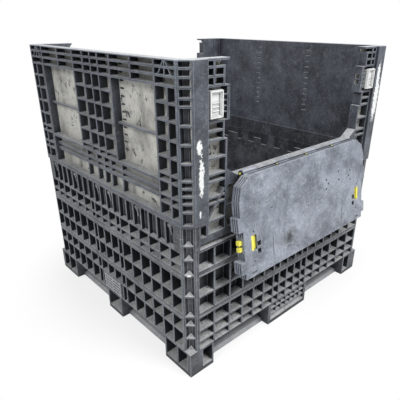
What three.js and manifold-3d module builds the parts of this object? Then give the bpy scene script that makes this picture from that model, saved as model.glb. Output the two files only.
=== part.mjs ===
// A collapsible ribbed bulk container of moulded polyethylene, with two drop doors that hang open.
// Units are millimetres. +Z is up, the front doorway faces -Y, and the origin is the centre of the footprint.
import * as THREE from "three";
import { mergeVertices } from "three/addons/utils/BufferGeometryUtils.js";
import Module from "manifold-3d";

const wasm = await Module();
wasm.setup();
const { Manifold, Mesh: SolidMesh } = wasm;

// Overall size
const WIDTH = 1219;
const DEPTH = 1143;
const HEIGHT = 1188;
const CORNER_CHAMFER = 37;

// Clearances
const FIT = 0.3; // between pieces that touch
const SWING = 2; // between pieces that move past each other
const BORE_PLAY = 0.35; // round a hinge rod

// Moulding walls and ribs
const RIB = 7;
const RIM = 8;

// Feet and ground runners
const FOOT_HEIGHT = 112;
const FOOT_LIP = 20;
const CORNER_FOOT_X = 121;
const CORNER_FOOT_Y = 165;
const FOOT_STRIP = 21; // solid strip beside the container's corner
const FOOT_CELL_X = 50; // depth of the cells in a corner foot's side
const FOOT_CELL_Y = 55;
const CENTRE_FOOT_HALF_X = 140;
const CENTRE_FOOT_HALF_Y = 60;
const RUNNER_INSET = 38;
const RUNNER_WIDTH = 80;
const RUNNER_HEIGHT = 16;
const RUNNER_BEVEL = 10;

// Base tub
const BASE_INSET_X = 3;
const BASE_INSET_Y = 6;
const BASE_WALL_X = 50;
const BASE_WALL_Y = 46;
const BASE_CELL_X = 41;
const BASE_CELL_Y = 37;
const DECK_TOP = 190;
const DECK_SKIN = 12;
const DECK_BAYS_X = 4;
const DECK_BAYS_Y = 4;
const DECK_RIB = 14;
const SIDE_HINGE_ROW = 553; // foot of the row of cells under the side walls
const SIDE_HINGE_PITCH = 51.9;
const SIDE_HINGE_CELLS = 19;
const SIDE_HINGE_CELL_DEPTH = 17;
const SIDE_SEAT = 657; // where a side wall stands on the base
const SIDE_LINES = [30, 90, 123, 192, 263, 330, 399, 464, 528]; // rib lines from the middle
const END_LINES = [28, 81, 122, 188, 254, 322, 397, 481, 560];
const BAND = 20; // height of a double rib
const SIDE_ROWS = [[112, 200], [200, 264], [284, 360], [360, 444], [468, 500], [500, 553]];
const END_ROWS = [[112, 152], [152, 203], [203, 268], [285, 360], [360, 452], [470, 552]];
const DOUBLE_RIBS = [274, 456];
const DOUBLE_RIB_GROOVE = 6;
const BASE_CORNER_LINES = [112, 174, 236, 277, 368, 460, 523, 579, 652];
const BASE_CORNER_CELL = 14; // depth of the cells in a corner's chamfer
const CORNER_CELL_FLOOR = 8; // half the width of such a cell at its floor

// Side wall hinge
const LEDGE_Z = 600;
const LEDGE_OUTER_X = 29; // from the container's side plane
const SIDE_LUG_DEPTH = 24;
const SIDE_ROD_Z = 643;
const TALL_FINGERS = [[25, 78], [235, 290]];
const LOW_FINGERS = [[128, 185], [325, 410]];
const LOW_FINGER_TOP = 630;
const SIDE_LUG_END = 440;

// Side walls
const SIDE_WALL = 46;
const RETURN_X = 95.5; // how far a corner column reaches in from the side plane
const RETURN_Y = 56;
const WINDOW_DEPTH = 34;
const WINDOW_RIB_SETBACK = 17;
const SHELF_RECESS = 15;
const WALL_FLANGE = 15;
const WALL_CORNER_CELL = 22;
const COLUMN_LINES = [39.5, 81.5, 145.5]; // rib lines of an end column, in from the wall's end
const FAR_WINDOW_EDGE = 156.5; // in from the wall's other end
const CENTRE_COLUMNS = [-120, -36, 23, 78, 160];
const TOP_RAIL_MIDDLES = [-258, 293]; // a rib over the middle of each window
const TOP_RAIL_DROPS = [76, 48, 23, 0]; // rib lines, down from the top
const COLUMN_RISES = [15, 67, 95, 146, 173, 232, 290, 350, 404]; // rib lines, up from the seat
const CENTRE_RISES = [143, 166, 226, 285, 346, 401];
const WINDOW_RIB_RISE = 290;
const SHELF_RISE = 140;
const LOW_RISES = [[15, 68], [80, 95], [105, 136]];
const WALL_CORNER_RISES = [3, 53, 83, 110, 137, 163, 221, 281, 341];
const WALL_CORNER_DROPS = [132, 108, 77, 48, 23, 0];
const VENT = [25, 8]; // slots through a wall's skin: length, height
const VENT_COLUMNS = [-155, 180];
const VENT_RISE = 189; // the lowest slot, up from the seat
const VENT_PITCH = 28;
const VENT_COUNT = 12;

// End walls
const END_WALL = 40;
const END_WALL_INSET = 12;
const FOOT_REACH = 36; // how far an end wall's foot runs out past its posts
const FOOT_TOP = 650;
const FRONT_HINGE_Z = 580;
const REAR_HINGE_Z = 628;
const END_CELL_DEPTH = 31;
const SILL_Z = 793;
const POST = 92; // width of a post
const POST_AT_HOUSING = 101;
const POST_AT_NOTCH = 79; // beside the notches that a closed door's tabs fill
const POST_DIVIDER = 33; // from a post's outer edge
const POST_RISES = [-78, -55.5, 1.5, 27.5, 83.5]; // rib lines of a post, up from the sill
const BRACE_RISE = -41; // a post's diagonal rib ends here, up from the sill
const BRACE_HEIGHT = 10;
const SILL_CORNER_RUN = 55;
const SILL_CORNER_RISE = 35;
const RAIL_PITCH = 140; // between the ribs under the sill
const UPPER_NOTCH_DROP = 25; // from the top
const UPPER_NOTCH_HEIGHT = 55;
const HOUSING_HEIGHT = 111;
const HOUSING_RIM = 12;
const LOWER_NOTCH_HEIGHT = 60;
const END_KNUCKLE_PITCH = 180;
const END_KNUCKLE_LENGTH = 60;
const END_KNUCKLE_R = 18;
const END_KNUCKLE_NECK = 14.5;
const END_KNUCKLE_MARGIN = 100; // from the end of a wall to its last knuckle's middle
const ROD_R = 6;
const ROUND_SIDES = 8;

// Drop doors
const DOOR_AXIS_OUT = 5; // hinge axis in front of the end wall's face
const DOOR_AXIS_RISE = 4; // above the sill
const DOOR_TILT = 8; // degrees out from hanging straight down
const DOOR_TOP_GAP = 2; // from a closed door's free edge to the container's top
const DOOR_CLEAR = 3;
const DOOR_HEEL_INSET = 12; // the outline's first corners beside the hinge
const DOOR_HEEL_RUN = 36;
const DOOR_HEEL_RISE = 33;
const DOOR_HEEL_TOP = 95;
const DOOR_SWING_CLEAR = 1.5;
const DOOR_KNUCKLE_FIRST = 47; // from the sill's corner
const DOOR_KNUCKLE_PITCH = 184;
const DOOR_KNUCKLE_LENGTH = 70;
const DOOR_KNUCKLE_R = 12.5;
const DOOR_CELL_DEPTH = 30;
const DOOR_RIB_START = 30; // from the hinge axis to the first rib
const DOOR_RIB_BAYS = [5, 4];
const DOOR_SOLID = 31; // between the ribbed bays and a latch's pocket

// Door latches
const TIP = 16;
const TIP_REACH = 15;
const TIP_SPACING = 26;
const LATCH_BODY = [60, 78, 24]; // across the door, along it, through it
const LATCH_TRAVEL = 17;
const LATCH_WINDOW = [66, 12, 60]; // slot in the door's inner face: from the edge, width, height

// Wall latches
const HANDLE = [54, 87];
const HANDLE_INSET = 8; // from a post's outer edge
const HANDLE_PLATE = 7;
const HANDLE_GRIP = 26;
const HANDLE_LIP = 4; // the plate's edge round the grip
const TONGUE = [43, 15];
const TONGUE_INSET = 0.5; // from a post's outer edge to the tongue's end
const TONGUE_TRAVEL = 8;
const TONGUE_Y = 15; // behind the end wall's face

// Worked out from the sizes above
const SIDE_X = WIDTH / 2;
const FRONT_Y = DEPTH / 2;
const BASE_X = SIDE_X - BASE_INSET_X;
const BASE_Y = FRONT_Y - BASE_INSET_Y;
const TUB_X = BASE_X - BASE_WALL_X;
const TUB_Y = BASE_Y - BASE_WALL_Y;
const END_FACE_Y = FRONT_Y - END_WALL_INSET;
const END_BACK_Y = END_FACE_Y - END_WALL;
const END_AXIS_Y = END_FACE_Y - END_WALL / 2;
const LEDGE_X = SIDE_X - LEDGE_OUTER_X;
const SIDE_ROD_X = LEDGE_X - SIDE_LUG_DEPTH / 2;
const BORE_R = (ROD_R + BORE_PLAY) / Math.cos(Math.PI / ROUND_SIDES);
const DOOR_AXIS_Y = END_FACE_Y + DOOR_AXIS_OUT;
const DOOR_AXIS_Z = SILL_Z + DOOR_AXIS_RISE;
const DOOR_LENGTH = HEIGHT - DOOR_TOP_GAP - DOOR_AXIS_Z;
const END_WALL_HALF = SIDE_X - RETURN_X - SWING;
const FOOT_HALF = END_WALL_HALF + FOOT_REACH;
const POST_EDGE = END_WALL_HALF - POST;
const POST_NOTCH = END_WALL_HALF - POST_AT_NOTCH;
const POST_HOUSING_EDGE = END_WALL_HALF - POST_AT_HOUSING;
const SILL_CORNER = POST_EDGE - SILL_CORNER_RUN;
const UPPER_NOTCH = [HEIGHT - UPPER_NOTCH_DROP - UPPER_NOTCH_HEIGHT, HEIGHT - UPPER_NOTCH_DROP];
const HOUSING_Z = [UPPER_NOTCH[0] - HOUSING_HEIGHT, UPPER_NOTCH[0]];
const LOWER_NOTCH = [HOUSING_Z[0] - LOWER_NOTCH_HEIGHT, HOUSING_Z[0]];
const LATCH_Z = (HOUSING_Z[0] + HOUSING_Z[1]) / 2;
const HANDLE_X = [END_WALL_HALF - HANDLE_INSET - HANDLE[0], END_WALL_HALF - HANDLE_INSET];
const HANDLE_Z = [LATCH_Z - HANDLE[1] / 2, LATCH_Z + HANDLE[1] / 2];
const TONGUE_END = END_WALL_HALF - TONGUE_INSET;
const DOOR_EDGE = POST_HOUSING_EDGE - DOOR_CLEAR;
const LATCH_POCKET_X = DOOR_EDGE - RIM - LATCH_BODY[0] - LATCH_TRAVEL - SWING;
const COLUMN = COLUMN_LINES.map((d) => FRONT_Y - d).reverse();
const WINDOW_EDGES = [FAR_WINDOW_EDGE - FRONT_Y, COLUMN[0]];
const TOP_RAIL_COLUMNS = [
  -COLUMN[2],
  WINDOW_EDGES[0],
  TOP_RAIL_MIDDLES[0],
  ...CENTRE_COLUMNS,
  TOP_RAIL_MIDDLES[1],
  WINDOW_EDGES[1],
  COLUMN[2],
];
const LOW_COLUMNS = [WINDOW_EDGES[0], ...CENTRE_COLUMNS, WINDOW_EDGES[1]];
const PAST = 1; // how far a cutter runs past the face that it opens

// A closed geometry as a solid that can be joined and cut.
function solid(geometry) {
  const bare = geometry.clone();
  bare.deleteAttribute("normal");
  bare.deleteAttribute("uv");
  const merged = mergeVertices(bare, 1e-4);
  return new Manifold(
    new SolidMesh({
      numProp: 3,
      vertProperties: merged.attributes.position.array,
      triVerts: new Uint32Array(merged.index.array),
    }),
  );
}

function box(x, y, z) {
  const geometry = new THREE.BoxGeometry(x[1] - x[0], y[1] - y[0], z[1] - z[0]);
  geometry.translate((x[0] + x[1]) / 2, (y[0] + y[1]) / 2, (z[0] + z[1]) / 2);
  return solid(geometry);
}

// An outline of [first, second] points pushed along an axis: (x, y) along z, (x, z) along y or (y, z) along x.
function prism(points, axis, span) {
  const shape = new THREE.Shape(points.map(([a, b]) => new THREE.Vector2(a, b)));
  const geometry = new THREE.ExtrudeGeometry(shape, {
    depth: span[1] - span[0],
    bevelEnabled: false,
    steps: 1,
  });
  if (axis === "z") geometry.translate(0, 0, span[0]);
  if (axis === "y") {
    geometry.rotateX(Math.PI / 2);
    geometry.translate(0, span[1], 0);
  }
  if (axis === "x") {
    geometry.rotateX(Math.PI / 2);
    geometry.rotateZ(Math.PI / 2);
    geometry.translate(span[0], 0, 0);
  }
  return solid(geometry);
}

// The points of a circle, for a prism.
function circle(a, b, radius, sides = ROUND_SIDES) {
  return Array.from({ length: sides }, (_, i) => {
    const turn = (2 * Math.PI * (i + 0.5)) / sides;
    return [a + radius * Math.cos(turn), b + radius * Math.sin(turn)];
  });
}

const join = (list) => Manifold.union(list);
const cut = (body, list) => body.subtract(Manifold.union(list));

// The gaps between neighbouring rib lines, less half a rib at each end.
function bays(lines, rib = RIB) {
  return lines.slice(1).map((line, i) => [lines[i] + rib / 2, line - rib / 2]);
}

// Evenly spaced lines from one end of a span to the other.
function spread([low, high], count) {
  return Array.from({ length: count + 1 }, (_, i) => low + ((high - low) * i) / count);
}

// Lines at every step of a pitch, to both sides of the middle, that lie within reach of it.
function steps(pitch, reach) {
  const count = Math.floor(reach / pitch);
  return Array.from({ length: 2 * count + 1 }, (_, i) => (i - count) * pitch);
}

// Rib lines of a side wall, given up from its seat and down from its top. A low wall leaves out the middle ones.
function wallLines(rises, drops) {
  const upper = drops.map((d) => HEIGHT - d);
  const lower = rises.map((d) => SIDE_SEAT + d);
  return [...lower.filter((z) => z < upper[0] - 2 * RIB), ...upper];
}

const mirrored = (lines) => [...lines.filter((v) => v > 0).reverse().map((v) => -v), ...lines];
const shrink = ([low, high], by = RIB / 2) => [low + by, high - by];
const flip = ([low, high]) => [-high, -low];

// Cells sunk into a wall that faces -X (side) or -Y (end), one for each column and row.
function sideCells(face, depth, columns, rows) {
  return columns.flatMap((c) => rows.map((r) => box([-face - PAST, -face + depth], c, r)));
}
function endCells(face, depth, columns, rows) {
  return columns.flatMap((c) => rows.map((r) => box(c, [-face - PAST, -face + depth], r)));
}

// A cell sunk square into the chamfer of the corner at (-x, -y).
function cornerCell(x, y, depth, z) {
  const half = CORNER_CHAMFER / 2;
  const along = Math.SQRT1_2;
  const wide = CORNER_CHAMFER * along - RIB;
  const narrow = CORNER_CELL_FLOOR;
  const point = (s, t) => [-x + half + along * (s + t), -y + half + along * (t - s)];
  return prism([point(-wide, -PAST), point(-narrow, depth), point(narrow, depth), point(wide, -PAST)], "z", z);
}

const turned = (body) => body.rotate([0, 0, 180]);
const both = (list) => [...list, ...list.map(turned)];

// Base: deck, tub walls and corner columns.
function baseShell() {
  const outline = [
    [-BASE_X, CORNER_CHAMFER - BASE_Y],
    [CORNER_CHAMFER - BASE_X, -BASE_Y],
    [BASE_X - CORNER_CHAMFER, -BASE_Y],
    [BASE_X, CORNER_CHAMFER - BASE_Y],
    [BASE_X, BASE_Y - CORNER_CHAMFER],
    [BASE_X - CORNER_CHAMFER, BASE_Y],
    [CORNER_CHAMFER - BASE_X, BASE_Y],
    [-BASE_X, BASE_Y - CORNER_CHAMFER],
  ];
  const doorwayX = [-FOOT_HALF - SWING, FOOT_HALF + SWING];
  const wallTop = (hingeZ) => hingeZ - END_WALL / 2 - SWING / 2;
  const ledgeX = [-LEDGE_X, -TUB_X + PAST];
  const ledgeY = [-TUB_Y, TUB_Y];
  const hollow = [
    box([-TUB_X, TUB_X], [-TUB_Y, TUB_Y], [DECK_TOP, SIDE_SEAT]),
    box(doorwayX, [-BASE_Y - PAST, -TUB_Y + PAST], [wallTop(FRONT_HINGE_Z), SIDE_SEAT]),
    box(doorwayX, [TUB_Y - PAST, BASE_Y + PAST], [wallTop(REAR_HINGE_Z), SIDE_SEAT]),
    ...both([box(ledgeX, ledgeY, [LEDGE_Z, SIDE_SEAT])]),
  ];
  return cut(prism(outline, "z", [FOOT_HEIGHT, SIDE_SEAT - FIT]), hollow);
}

// The base's fingers that stand between a side wall's lugs.
function sideFingers() {
  const x = [-LEDGE_X - PAST, -LEDGE_X + SIDE_LUG_DEPTH];
  const at = (spans, top) =>
    spans.flatMap((s) => [s, flip(s)]).map((y) => box(x, y, [LEDGE_Z - PAST, top]));
  return [...at(TALL_FINGERS, SIDE_SEAT - SWING), ...at(LOW_FINGERS, LOW_FINGER_TOP)];
}

const endKnuckleMiddles = () => steps(END_KNUCKLE_PITCH, END_WALL_HALF - END_KNUCKLE_MARGIN);

// The base's knuckles for an end wall's hinge, on the wall at -Y.
function endKnuckles(hingeZ) {
  const foot = hingeZ - END_WALL / 2 - RIM;
  const neck = [-END_AXIS_Y - END_KNUCKLE_NECK, -END_AXIS_Y + END_KNUCKLE_NECK];
  return endKnuckleMiddles().flatMap((x) => {
    const span = [x - END_KNUCKLE_LENGTH / 2, x + END_KNUCKLE_LENGTH / 2];
    return [
      prism(circle(-END_AXIS_Y, hingeZ, END_KNUCKLE_R), "x", span),
      box(span, neck, [foot, hingeZ]),
    ];
  });
}

function endBore(hingeZ) {
  return prism(circle(-END_AXIS_Y, hingeZ, BORE_R), "x", [-END_WALL_HALF, END_WALL_HALF]);
}

const sideBore = prism(circle(-SIDE_ROD_X, SIDE_ROD_Z, BORE_R), "y", [-SIDE_LUG_END, SIDE_LUG_END]);

// The nine feet, each a block with open cells in its outer faces.
function foot(x, y) {
  const z = [0, FOOT_HEIGHT + PAST];
  return box(x, y, z);
}

function feet() {
  const cornerX = [-BASE_X, -BASE_X + CORNER_FOOT_X];
  const cornerY = [-BASE_Y, -BASE_Y + CORNER_FOOT_Y];
  const midX = [-CENTRE_FOOT_HALF_X, CENTRE_FOOT_HALF_X];
  const midY = [-CENTRE_FOOT_HALF_Y, CENTRE_FOOT_HALF_Y];
  return [
    ...both([foot(cornerX, cornerY), foot(flip(cornerX), cornerY)]),
    ...both([foot(midX, cornerY), foot(cornerX, midY)]),
    foot(midX, midY),
  ];
}

// Cells open to the outside in the feet that face -X and -Y, for both ends by a half turn.
function footCells() {
  const z = [FOOT_LIP, FOOT_HEIGHT - RIB];
  const cornerBays = (start, size) => {
    const middle = start + size / 2;
    return [[start + FOOT_STRIP, middle - RIB / 2], [middle + RIB / 2, start + size - RIB]];
  };
  const cornerY = cornerBays(-BASE_Y, CORNER_FOOT_Y);
  const cornerX = cornerBays(-BASE_X, CORNER_FOOT_X);
  const cells = [
    ...sideCells(BASE_X, FOOT_CELL_X, [...cornerY, ...cornerY.map(flip)], [z]),
    ...sideCells(BASE_X, CORNER_FOOT_X - FOOT_STRIP, [shrink([-CENTRE_FOOT_HALF_Y, CENTRE_FOOT_HALF_Y], RIM)], [z]),
    ...endCells(BASE_Y, FOOT_CELL_Y, [cornerX[1], flip(cornerX[1])], [z]),
  ];
  const ramp = [
    [-BASE_Y - PAST, FOOT_LIP],
    [-BASE_Y + CORNER_FOOT_Y - RIM, FOOT_HEIGHT - 2 * RIB],
    [-BASE_Y + CORNER_FOOT_Y - RIM, FOOT_HEIGHT - RIB],
    [-BASE_Y - PAST, FOOT_HEIGHT - RIB],
  ];
  cells.push(prism(ramp, "x", shrink([-CENTRE_FOOT_HALF_X, CENTRE_FOOT_HALF_X], 2 * RIB)));
  return both(cells);
}

function baseCells() {
  const sideLines = SIDE_LINES.filter((y) => y < BASE_Y - CORNER_CHAMFER);
  const endLines = END_LINES.filter((x) => x < BASE_X - CORNER_CHAMFER);
  const sideColumns = bays(mirrored(sideLines));
  const endColumns = bays(mirrored(endLines));
  const first = (-SIDE_HINGE_CELLS / 2) * SIDE_HINGE_PITCH;
  const hingeLines = Array.from({ length: SIDE_HINGE_CELLS + 1 }, (_, i) => first + i * SIDE_HINGE_PITCH);
  const sideBand = [-sideLines.at(-1), sideLines.at(-1)];
  const endBand = [-endLines.at(-1), endLines.at(-1)];
  const grooves = DOUBLE_RIBS.map((z) => [z - DOUBLE_RIB_GROOVE / 2, z + DOUBLE_RIB_GROOVE / 2]);
  return [
    ...sideCells(BASE_X, BASE_CELL_X, sideColumns, SIDE_ROWS.map((r) => shrink(r))),
    ...sideCells(BASE_X, SIDE_HINGE_CELL_DEPTH, bays(hingeLines), [[SIDE_HINGE_ROW + RIB / 2, SIDE_SEAT - RIM]]),
    ...sideCells(BASE_X, BAND / 2, [shrink(sideBand)], grooves),
    ...endCells(BASE_Y, BASE_CELL_Y, endColumns, END_ROWS.map((r) => shrink(r))),
    ...endCells(BASE_Y, BAND / 2, [shrink(endBand)], grooves),
  ];
}

function baseCornerCells() {
  const rows = bays(BASE_CORNER_LINES);
  const nearCorner = rows.map((z) => cornerCell(BASE_X, BASE_Y, BASE_CORNER_CELL, z));
  return [...nearCorner, ...nearCorner.map((c) => c.mirror([1, 0, 0]))];
}

function deckCells() {
  const z = [FOOT_HEIGHT - PAST, DECK_TOP - DECK_SKIN];
  const columns = bays(spread([-TUB_X, TUB_X], DECK_BAYS_X), DECK_RIB);
  const rows = bays(spread([-TUB_Y, TUB_Y], DECK_BAYS_Y), DECK_RIB);
  return columns.flatMap((x) => rows.map((y) => box(x, y, z)));
}

function runnerChannels(extra, height) {
  const outX = BASE_X - RUNNER_INSET;
  const outY = BASE_Y - RUNNER_INSET;
  const inX = outX - RUNNER_WIDTH;
  const inY = outY - RUNNER_WIDTH;
  const half = RUNNER_WIDTH / 2;
  const z = [-PAST, height];
  const grow = ([low, high]) => [low - extra, high + extra];
  return [
    ...both([box(grow([-outX, -inX]), grow([-outY, outY]), z)]),
    ...both([box(grow([-outX, outX]), grow([-outY, -inY]), z)]),
    box(grow([-outX, outX]), grow([-half, half]), z),
    box(grow([-half, half]), grow([-outY, outY]), z),
  ];
}

function makeBase() {
  const body = join([
    baseShell(),
    ...both(sideFingers()),
    ...endKnuckles(FRONT_HINGE_Z),
    ...endKnuckles(REAR_HINGE_Z).map(turned),
    ...feet(),
  ]);
  return cut(body, [
    ...both(baseCells()),
    ...both(baseCornerCells()),
    ...footCells(),
    ...deckCells(),
    ...runnerChannels(FIT, RUNNER_HEIGHT + FIT),
    endBore(FRONT_HINGE_Z),
    turned(endBore(REAR_HINGE_Z)),
    ...both([sideBore]),
  ]);
}

// Ground runners: a frame of bars with bevelled outer edges, and a cross between them.
function makeSkidFrame() {
  const bevelled = (half, axis, span, centre) => {
    const top = half - RUNNER_BEVEL;
    const points = [
      [centre - half, 0],
      [centre + half, 0],
      [centre + top, RUNNER_HEIGHT],
      [centre - top, RUNNER_HEIGHT],
    ];
    return prism(points, axis, span);
  };
  const half = RUNNER_WIDTH / 2;
  const outX = BASE_X - RUNNER_INSET;
  const outY = BASE_Y - RUNNER_INSET;
  return join([
    ...both([bevelled(half, "y", [-outY, outY], -outX + half)]),
    ...both([bevelled(half, "x", [-outX, outX], -outY + half)]),
    bevelled(half, "y", [-outY, outY], 0),
    bevelled(half, "x", [-outX, outX], 0),
  ]);
}

// Side wall at -X. The columns are given from its middle towards the front, so y is minus the column.
function sideWallShell() {
  const panelX = -SIDE_X + SIDE_WALL;
  const returnX = -SIDE_X + RETURN_X;
  const returnY = FRONT_Y - RETURN_Y;
  const outline = [
    [-SIDE_X, CORNER_CHAMFER - FRONT_Y],
    [CORNER_CHAMFER - SIDE_X, -FRONT_Y],
    [returnX, -FRONT_Y],
    [returnX, -returnY],
    [panelX, -returnY],
    [panelX, returnY],
    [returnX, returnY],
    [returnX, FRONT_Y],
    [CORNER_CHAMFER - SIDE_X, FRONT_Y],
    [-SIDE_X, FRONT_Y - CORNER_CHAMFER],
  ];
  const lugX = [-LEDGE_X + SWING / 2, -LEDGE_X + SIDE_LUG_DEPTH];
  const between = [
    [-TALL_FINGERS[0][0], TALL_FINGERS[0][0]],
    [TALL_FINGERS[0][1], TALL_FINGERS[1][0]],
    [TALL_FINGERS[1][1], SIDE_LUG_END],
    flip([TALL_FINGERS[0][1], TALL_FINGERS[1][0]]),
    flip([TALL_FINGERS[1][1], SIDE_LUG_END]),
  ];
  const lugs = between.map((y) => box(lugX, shrink(y, FIT), [LOW_FINGER_TOP + FIT, SIDE_SEAT + WALL_FLANGE]));
  return join([prism(outline, "z", [SIDE_SEAT, HEIGHT]), ...lugs]);
}

function sideWallCells() {
  const y = ([low, high]) => [-high, -low];
  const topRailRows = wallLines([], TOP_RAIL_DROPS);
  const columnRows = bays(wallLines(COLUMN_RISES, [TOP_RAIL_DROPS[0]]));
  const centreRows = wallLines(CENTRE_RISES, [TOP_RAIL_DROPS[0]]);
  const lowRows = LOW_RISES.map((r) => r.map((d) => SIDE_SEAT + d));
  const nearColumn = bays(COLUMN);
  const windows = [
    [WINDOW_EDGES[0], CENTRE_COLUMNS[0]],
    [CENTRE_COLUMNS.at(-1), WINDOW_EDGES[1]],
  ].map((w) => y(shrink(w)));
  const top = topRailRows[0] - RIB / 2;
  const foot = centreRows[0] + RIB / 2;
  const windowRib = SIDE_SEAT + WINDOW_RIB_RISE;
  const panes = [
    [foot, windowRib - RIB / 2],
    [windowRib + RIB / 2, top],
  ];
  const lowWidth = y(shrink(WINDOW_EDGES));
  return [
    ...sideCells(SIDE_X, WINDOW_DEPTH, bays(TOP_RAIL_COLUMNS).map(y), bays(topRailRows)),
    ...sideCells(SIDE_X, WINDOW_DEPTH, [...nearColumn, ...nearColumn.map(flip)], columnRows),
    ...sideCells(SIDE_X, WINDOW_RIB_SETBACK, windows, [[foot, top]]),
    ...sideCells(SIDE_X, WINDOW_DEPTH, windows, panes),
    ...sideCells(SIDE_X, WINDOW_DEPTH, bays(CENTRE_COLUMNS).map(y), bays(centreRows)),
    ...sideCells(SIDE_X, SHELF_RECESS, [lowWidth], [[lowRows[0][0], SIDE_SEAT + SHELF_RISE - RIB / 2]]),
    ...sideCells(SIDE_X, WINDOW_DEPTH, bays(LOW_COLUMNS).map(y), lowRows),
  ];
}

// Two columns of slots through a side wall's skin, beside its ribbed middle.
function sideVents() {
  const rises = Array.from({ length: VENT_COUNT }, (_, i) => VENT_RISE + i * VENT_PITCH);
  const z = rises.map((d) => [SIDE_SEAT + d - VENT[1] / 2, SIDE_SEAT + d + VENT[1] / 2]);
  const y = VENT_COLUMNS.map((u) => [-u - VENT[0] / 2, -u + VENT[0] / 2]);
  const skin = [-SIDE_X + WINDOW_DEPTH - PAST, -SIDE_X + SIDE_WALL + PAST];
  const inside = z.filter(([, high]) => high < HEIGHT - RIM);
  return y.flatMap((c) => inside.map((r) => box(skin, c, r)));
}

// The spans along y and z of a wall latch's tongue, with play all round.
function tongueSection(play) {
  const middleY = -END_FACE_Y + TONGUE_Y;
  return [
    [middleY - TONGUE[1] / 2 - play, middleY + TONGUE[1] / 2 + play],
    [LATCH_Z - TONGUE[0] / 2 - play, LATCH_Z + TONGUE[0] / 2 + play],
  ];
}

// The rebate in a corner column that a wall latch's tongue slides into.
function tongueSocket() {
  const x = [-TONGUE_END - TONGUE_TRAVEL - SWING, -SIDE_X + RETURN_X + PAST];
  return box(x, ...tongueSection(SWING / 2));
}

function makeSideWall() {
  const rows = bays(wallLines(WALL_CORNER_RISES, WALL_CORNER_DROPS));
  const corner = rows.map((z) => cornerCell(SIDE_X, FRONT_Y, WALL_CORNER_CELL, z));
  const nearEnd = [...corner, tongueSocket()];
  return cut(sideWallShell(), [
    ...sideWallCells(),
    ...sideVents(),
    ...nearEnd,
    ...nearEnd.map((c) => c.mirror([0, 1, 0])),
    sideBore,
  ]);
}

// End wall at -Y, with its doorway open at the top.
const DOORWAY_HALF = [
  [POST_HOUSING_EDGE, HEIGHT + PAST],
  [POST_HOUSING_EDGE, UPPER_NOTCH[1]],
  [POST_NOTCH, UPPER_NOTCH[1]],
  [POST_NOTCH, UPPER_NOTCH[0]],
  [POST_HOUSING_EDGE, UPPER_NOTCH[0]],
  [POST_HOUSING_EDGE, LOWER_NOTCH[1]],
  [POST_NOTCH, LOWER_NOTCH[1]],
  [POST_NOTCH, LOWER_NOTCH[0]],
  [POST_EDGE, LOWER_NOTCH[0]],
  [POST_EDGE, SILL_Z + SILL_CORNER_RISE],
  [SILL_CORNER, SILL_Z],
];

// The top of an end wall's foot: low enough to turn under the side walls as the end wall folds in.
function footTop(hingeZ) {
  const reach = SIDE_SEAT - SWING / 2 - hingeZ;
  return Math.min(FOOT_TOP, hingeZ + Math.sqrt(reach ** 2 - (END_WALL / 2) ** 2));
}

function endWallShell(hingeZ) {
  const foot = hingeZ - END_WALL / 2;
  const head = footTop(hingeZ);
  const outline = [
    [-FOOT_HALF, foot],
    [FOOT_HALF, foot],
    [FOOT_HALF, head],
    [END_WALL_HALF, head],
    [END_WALL_HALF, HEIGHT],
    ...DOORWAY_HALF.slice(1).map(([x, z], i) => (i === 0 ? [x, HEIGHT] : [x, z])),
    ...DOORWAY_HALF.slice(1).map(([x, z], i) => (i === 0 ? [-x, HEIGHT] : [-x, z])).reverse(),
    [-END_WALL_HALF, HEIGHT],
    [-END_WALL_HALF, head],
    [-FOOT_HALF, head],
  ];
  const panel = prism(outline, "y", [-END_FACE_Y, -END_BACK_Y]);
  const round = END_WALL / 2;
  const side = [
    ...circle(-END_AXIS_Y, hingeZ, round).filter(([, z]) => z < hingeZ),
    [-END_BACK_Y, hingeZ],
    [-END_BACK_Y, HEIGHT + PAST],
    [-END_FACE_Y, HEIGHT + PAST],
    [-END_FACE_Y, hingeZ],
  ];
  return panel.intersect(prism(side, "x", [-FOOT_HALF, FOOT_HALF]));
}

function knuckleNotches(hingeZ) {
  return endKnuckleMiddles().map((x) => {
    const half = END_KNUCKLE_LENGTH / 2 + SWING / 2;
    const z = [hingeZ - END_WALL, hingeZ + END_WALL / 2];
    return box([x - half, x + half], [-END_FACE_Y - PAST, -END_BACK_Y + PAST], z);
  });
}

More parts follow.
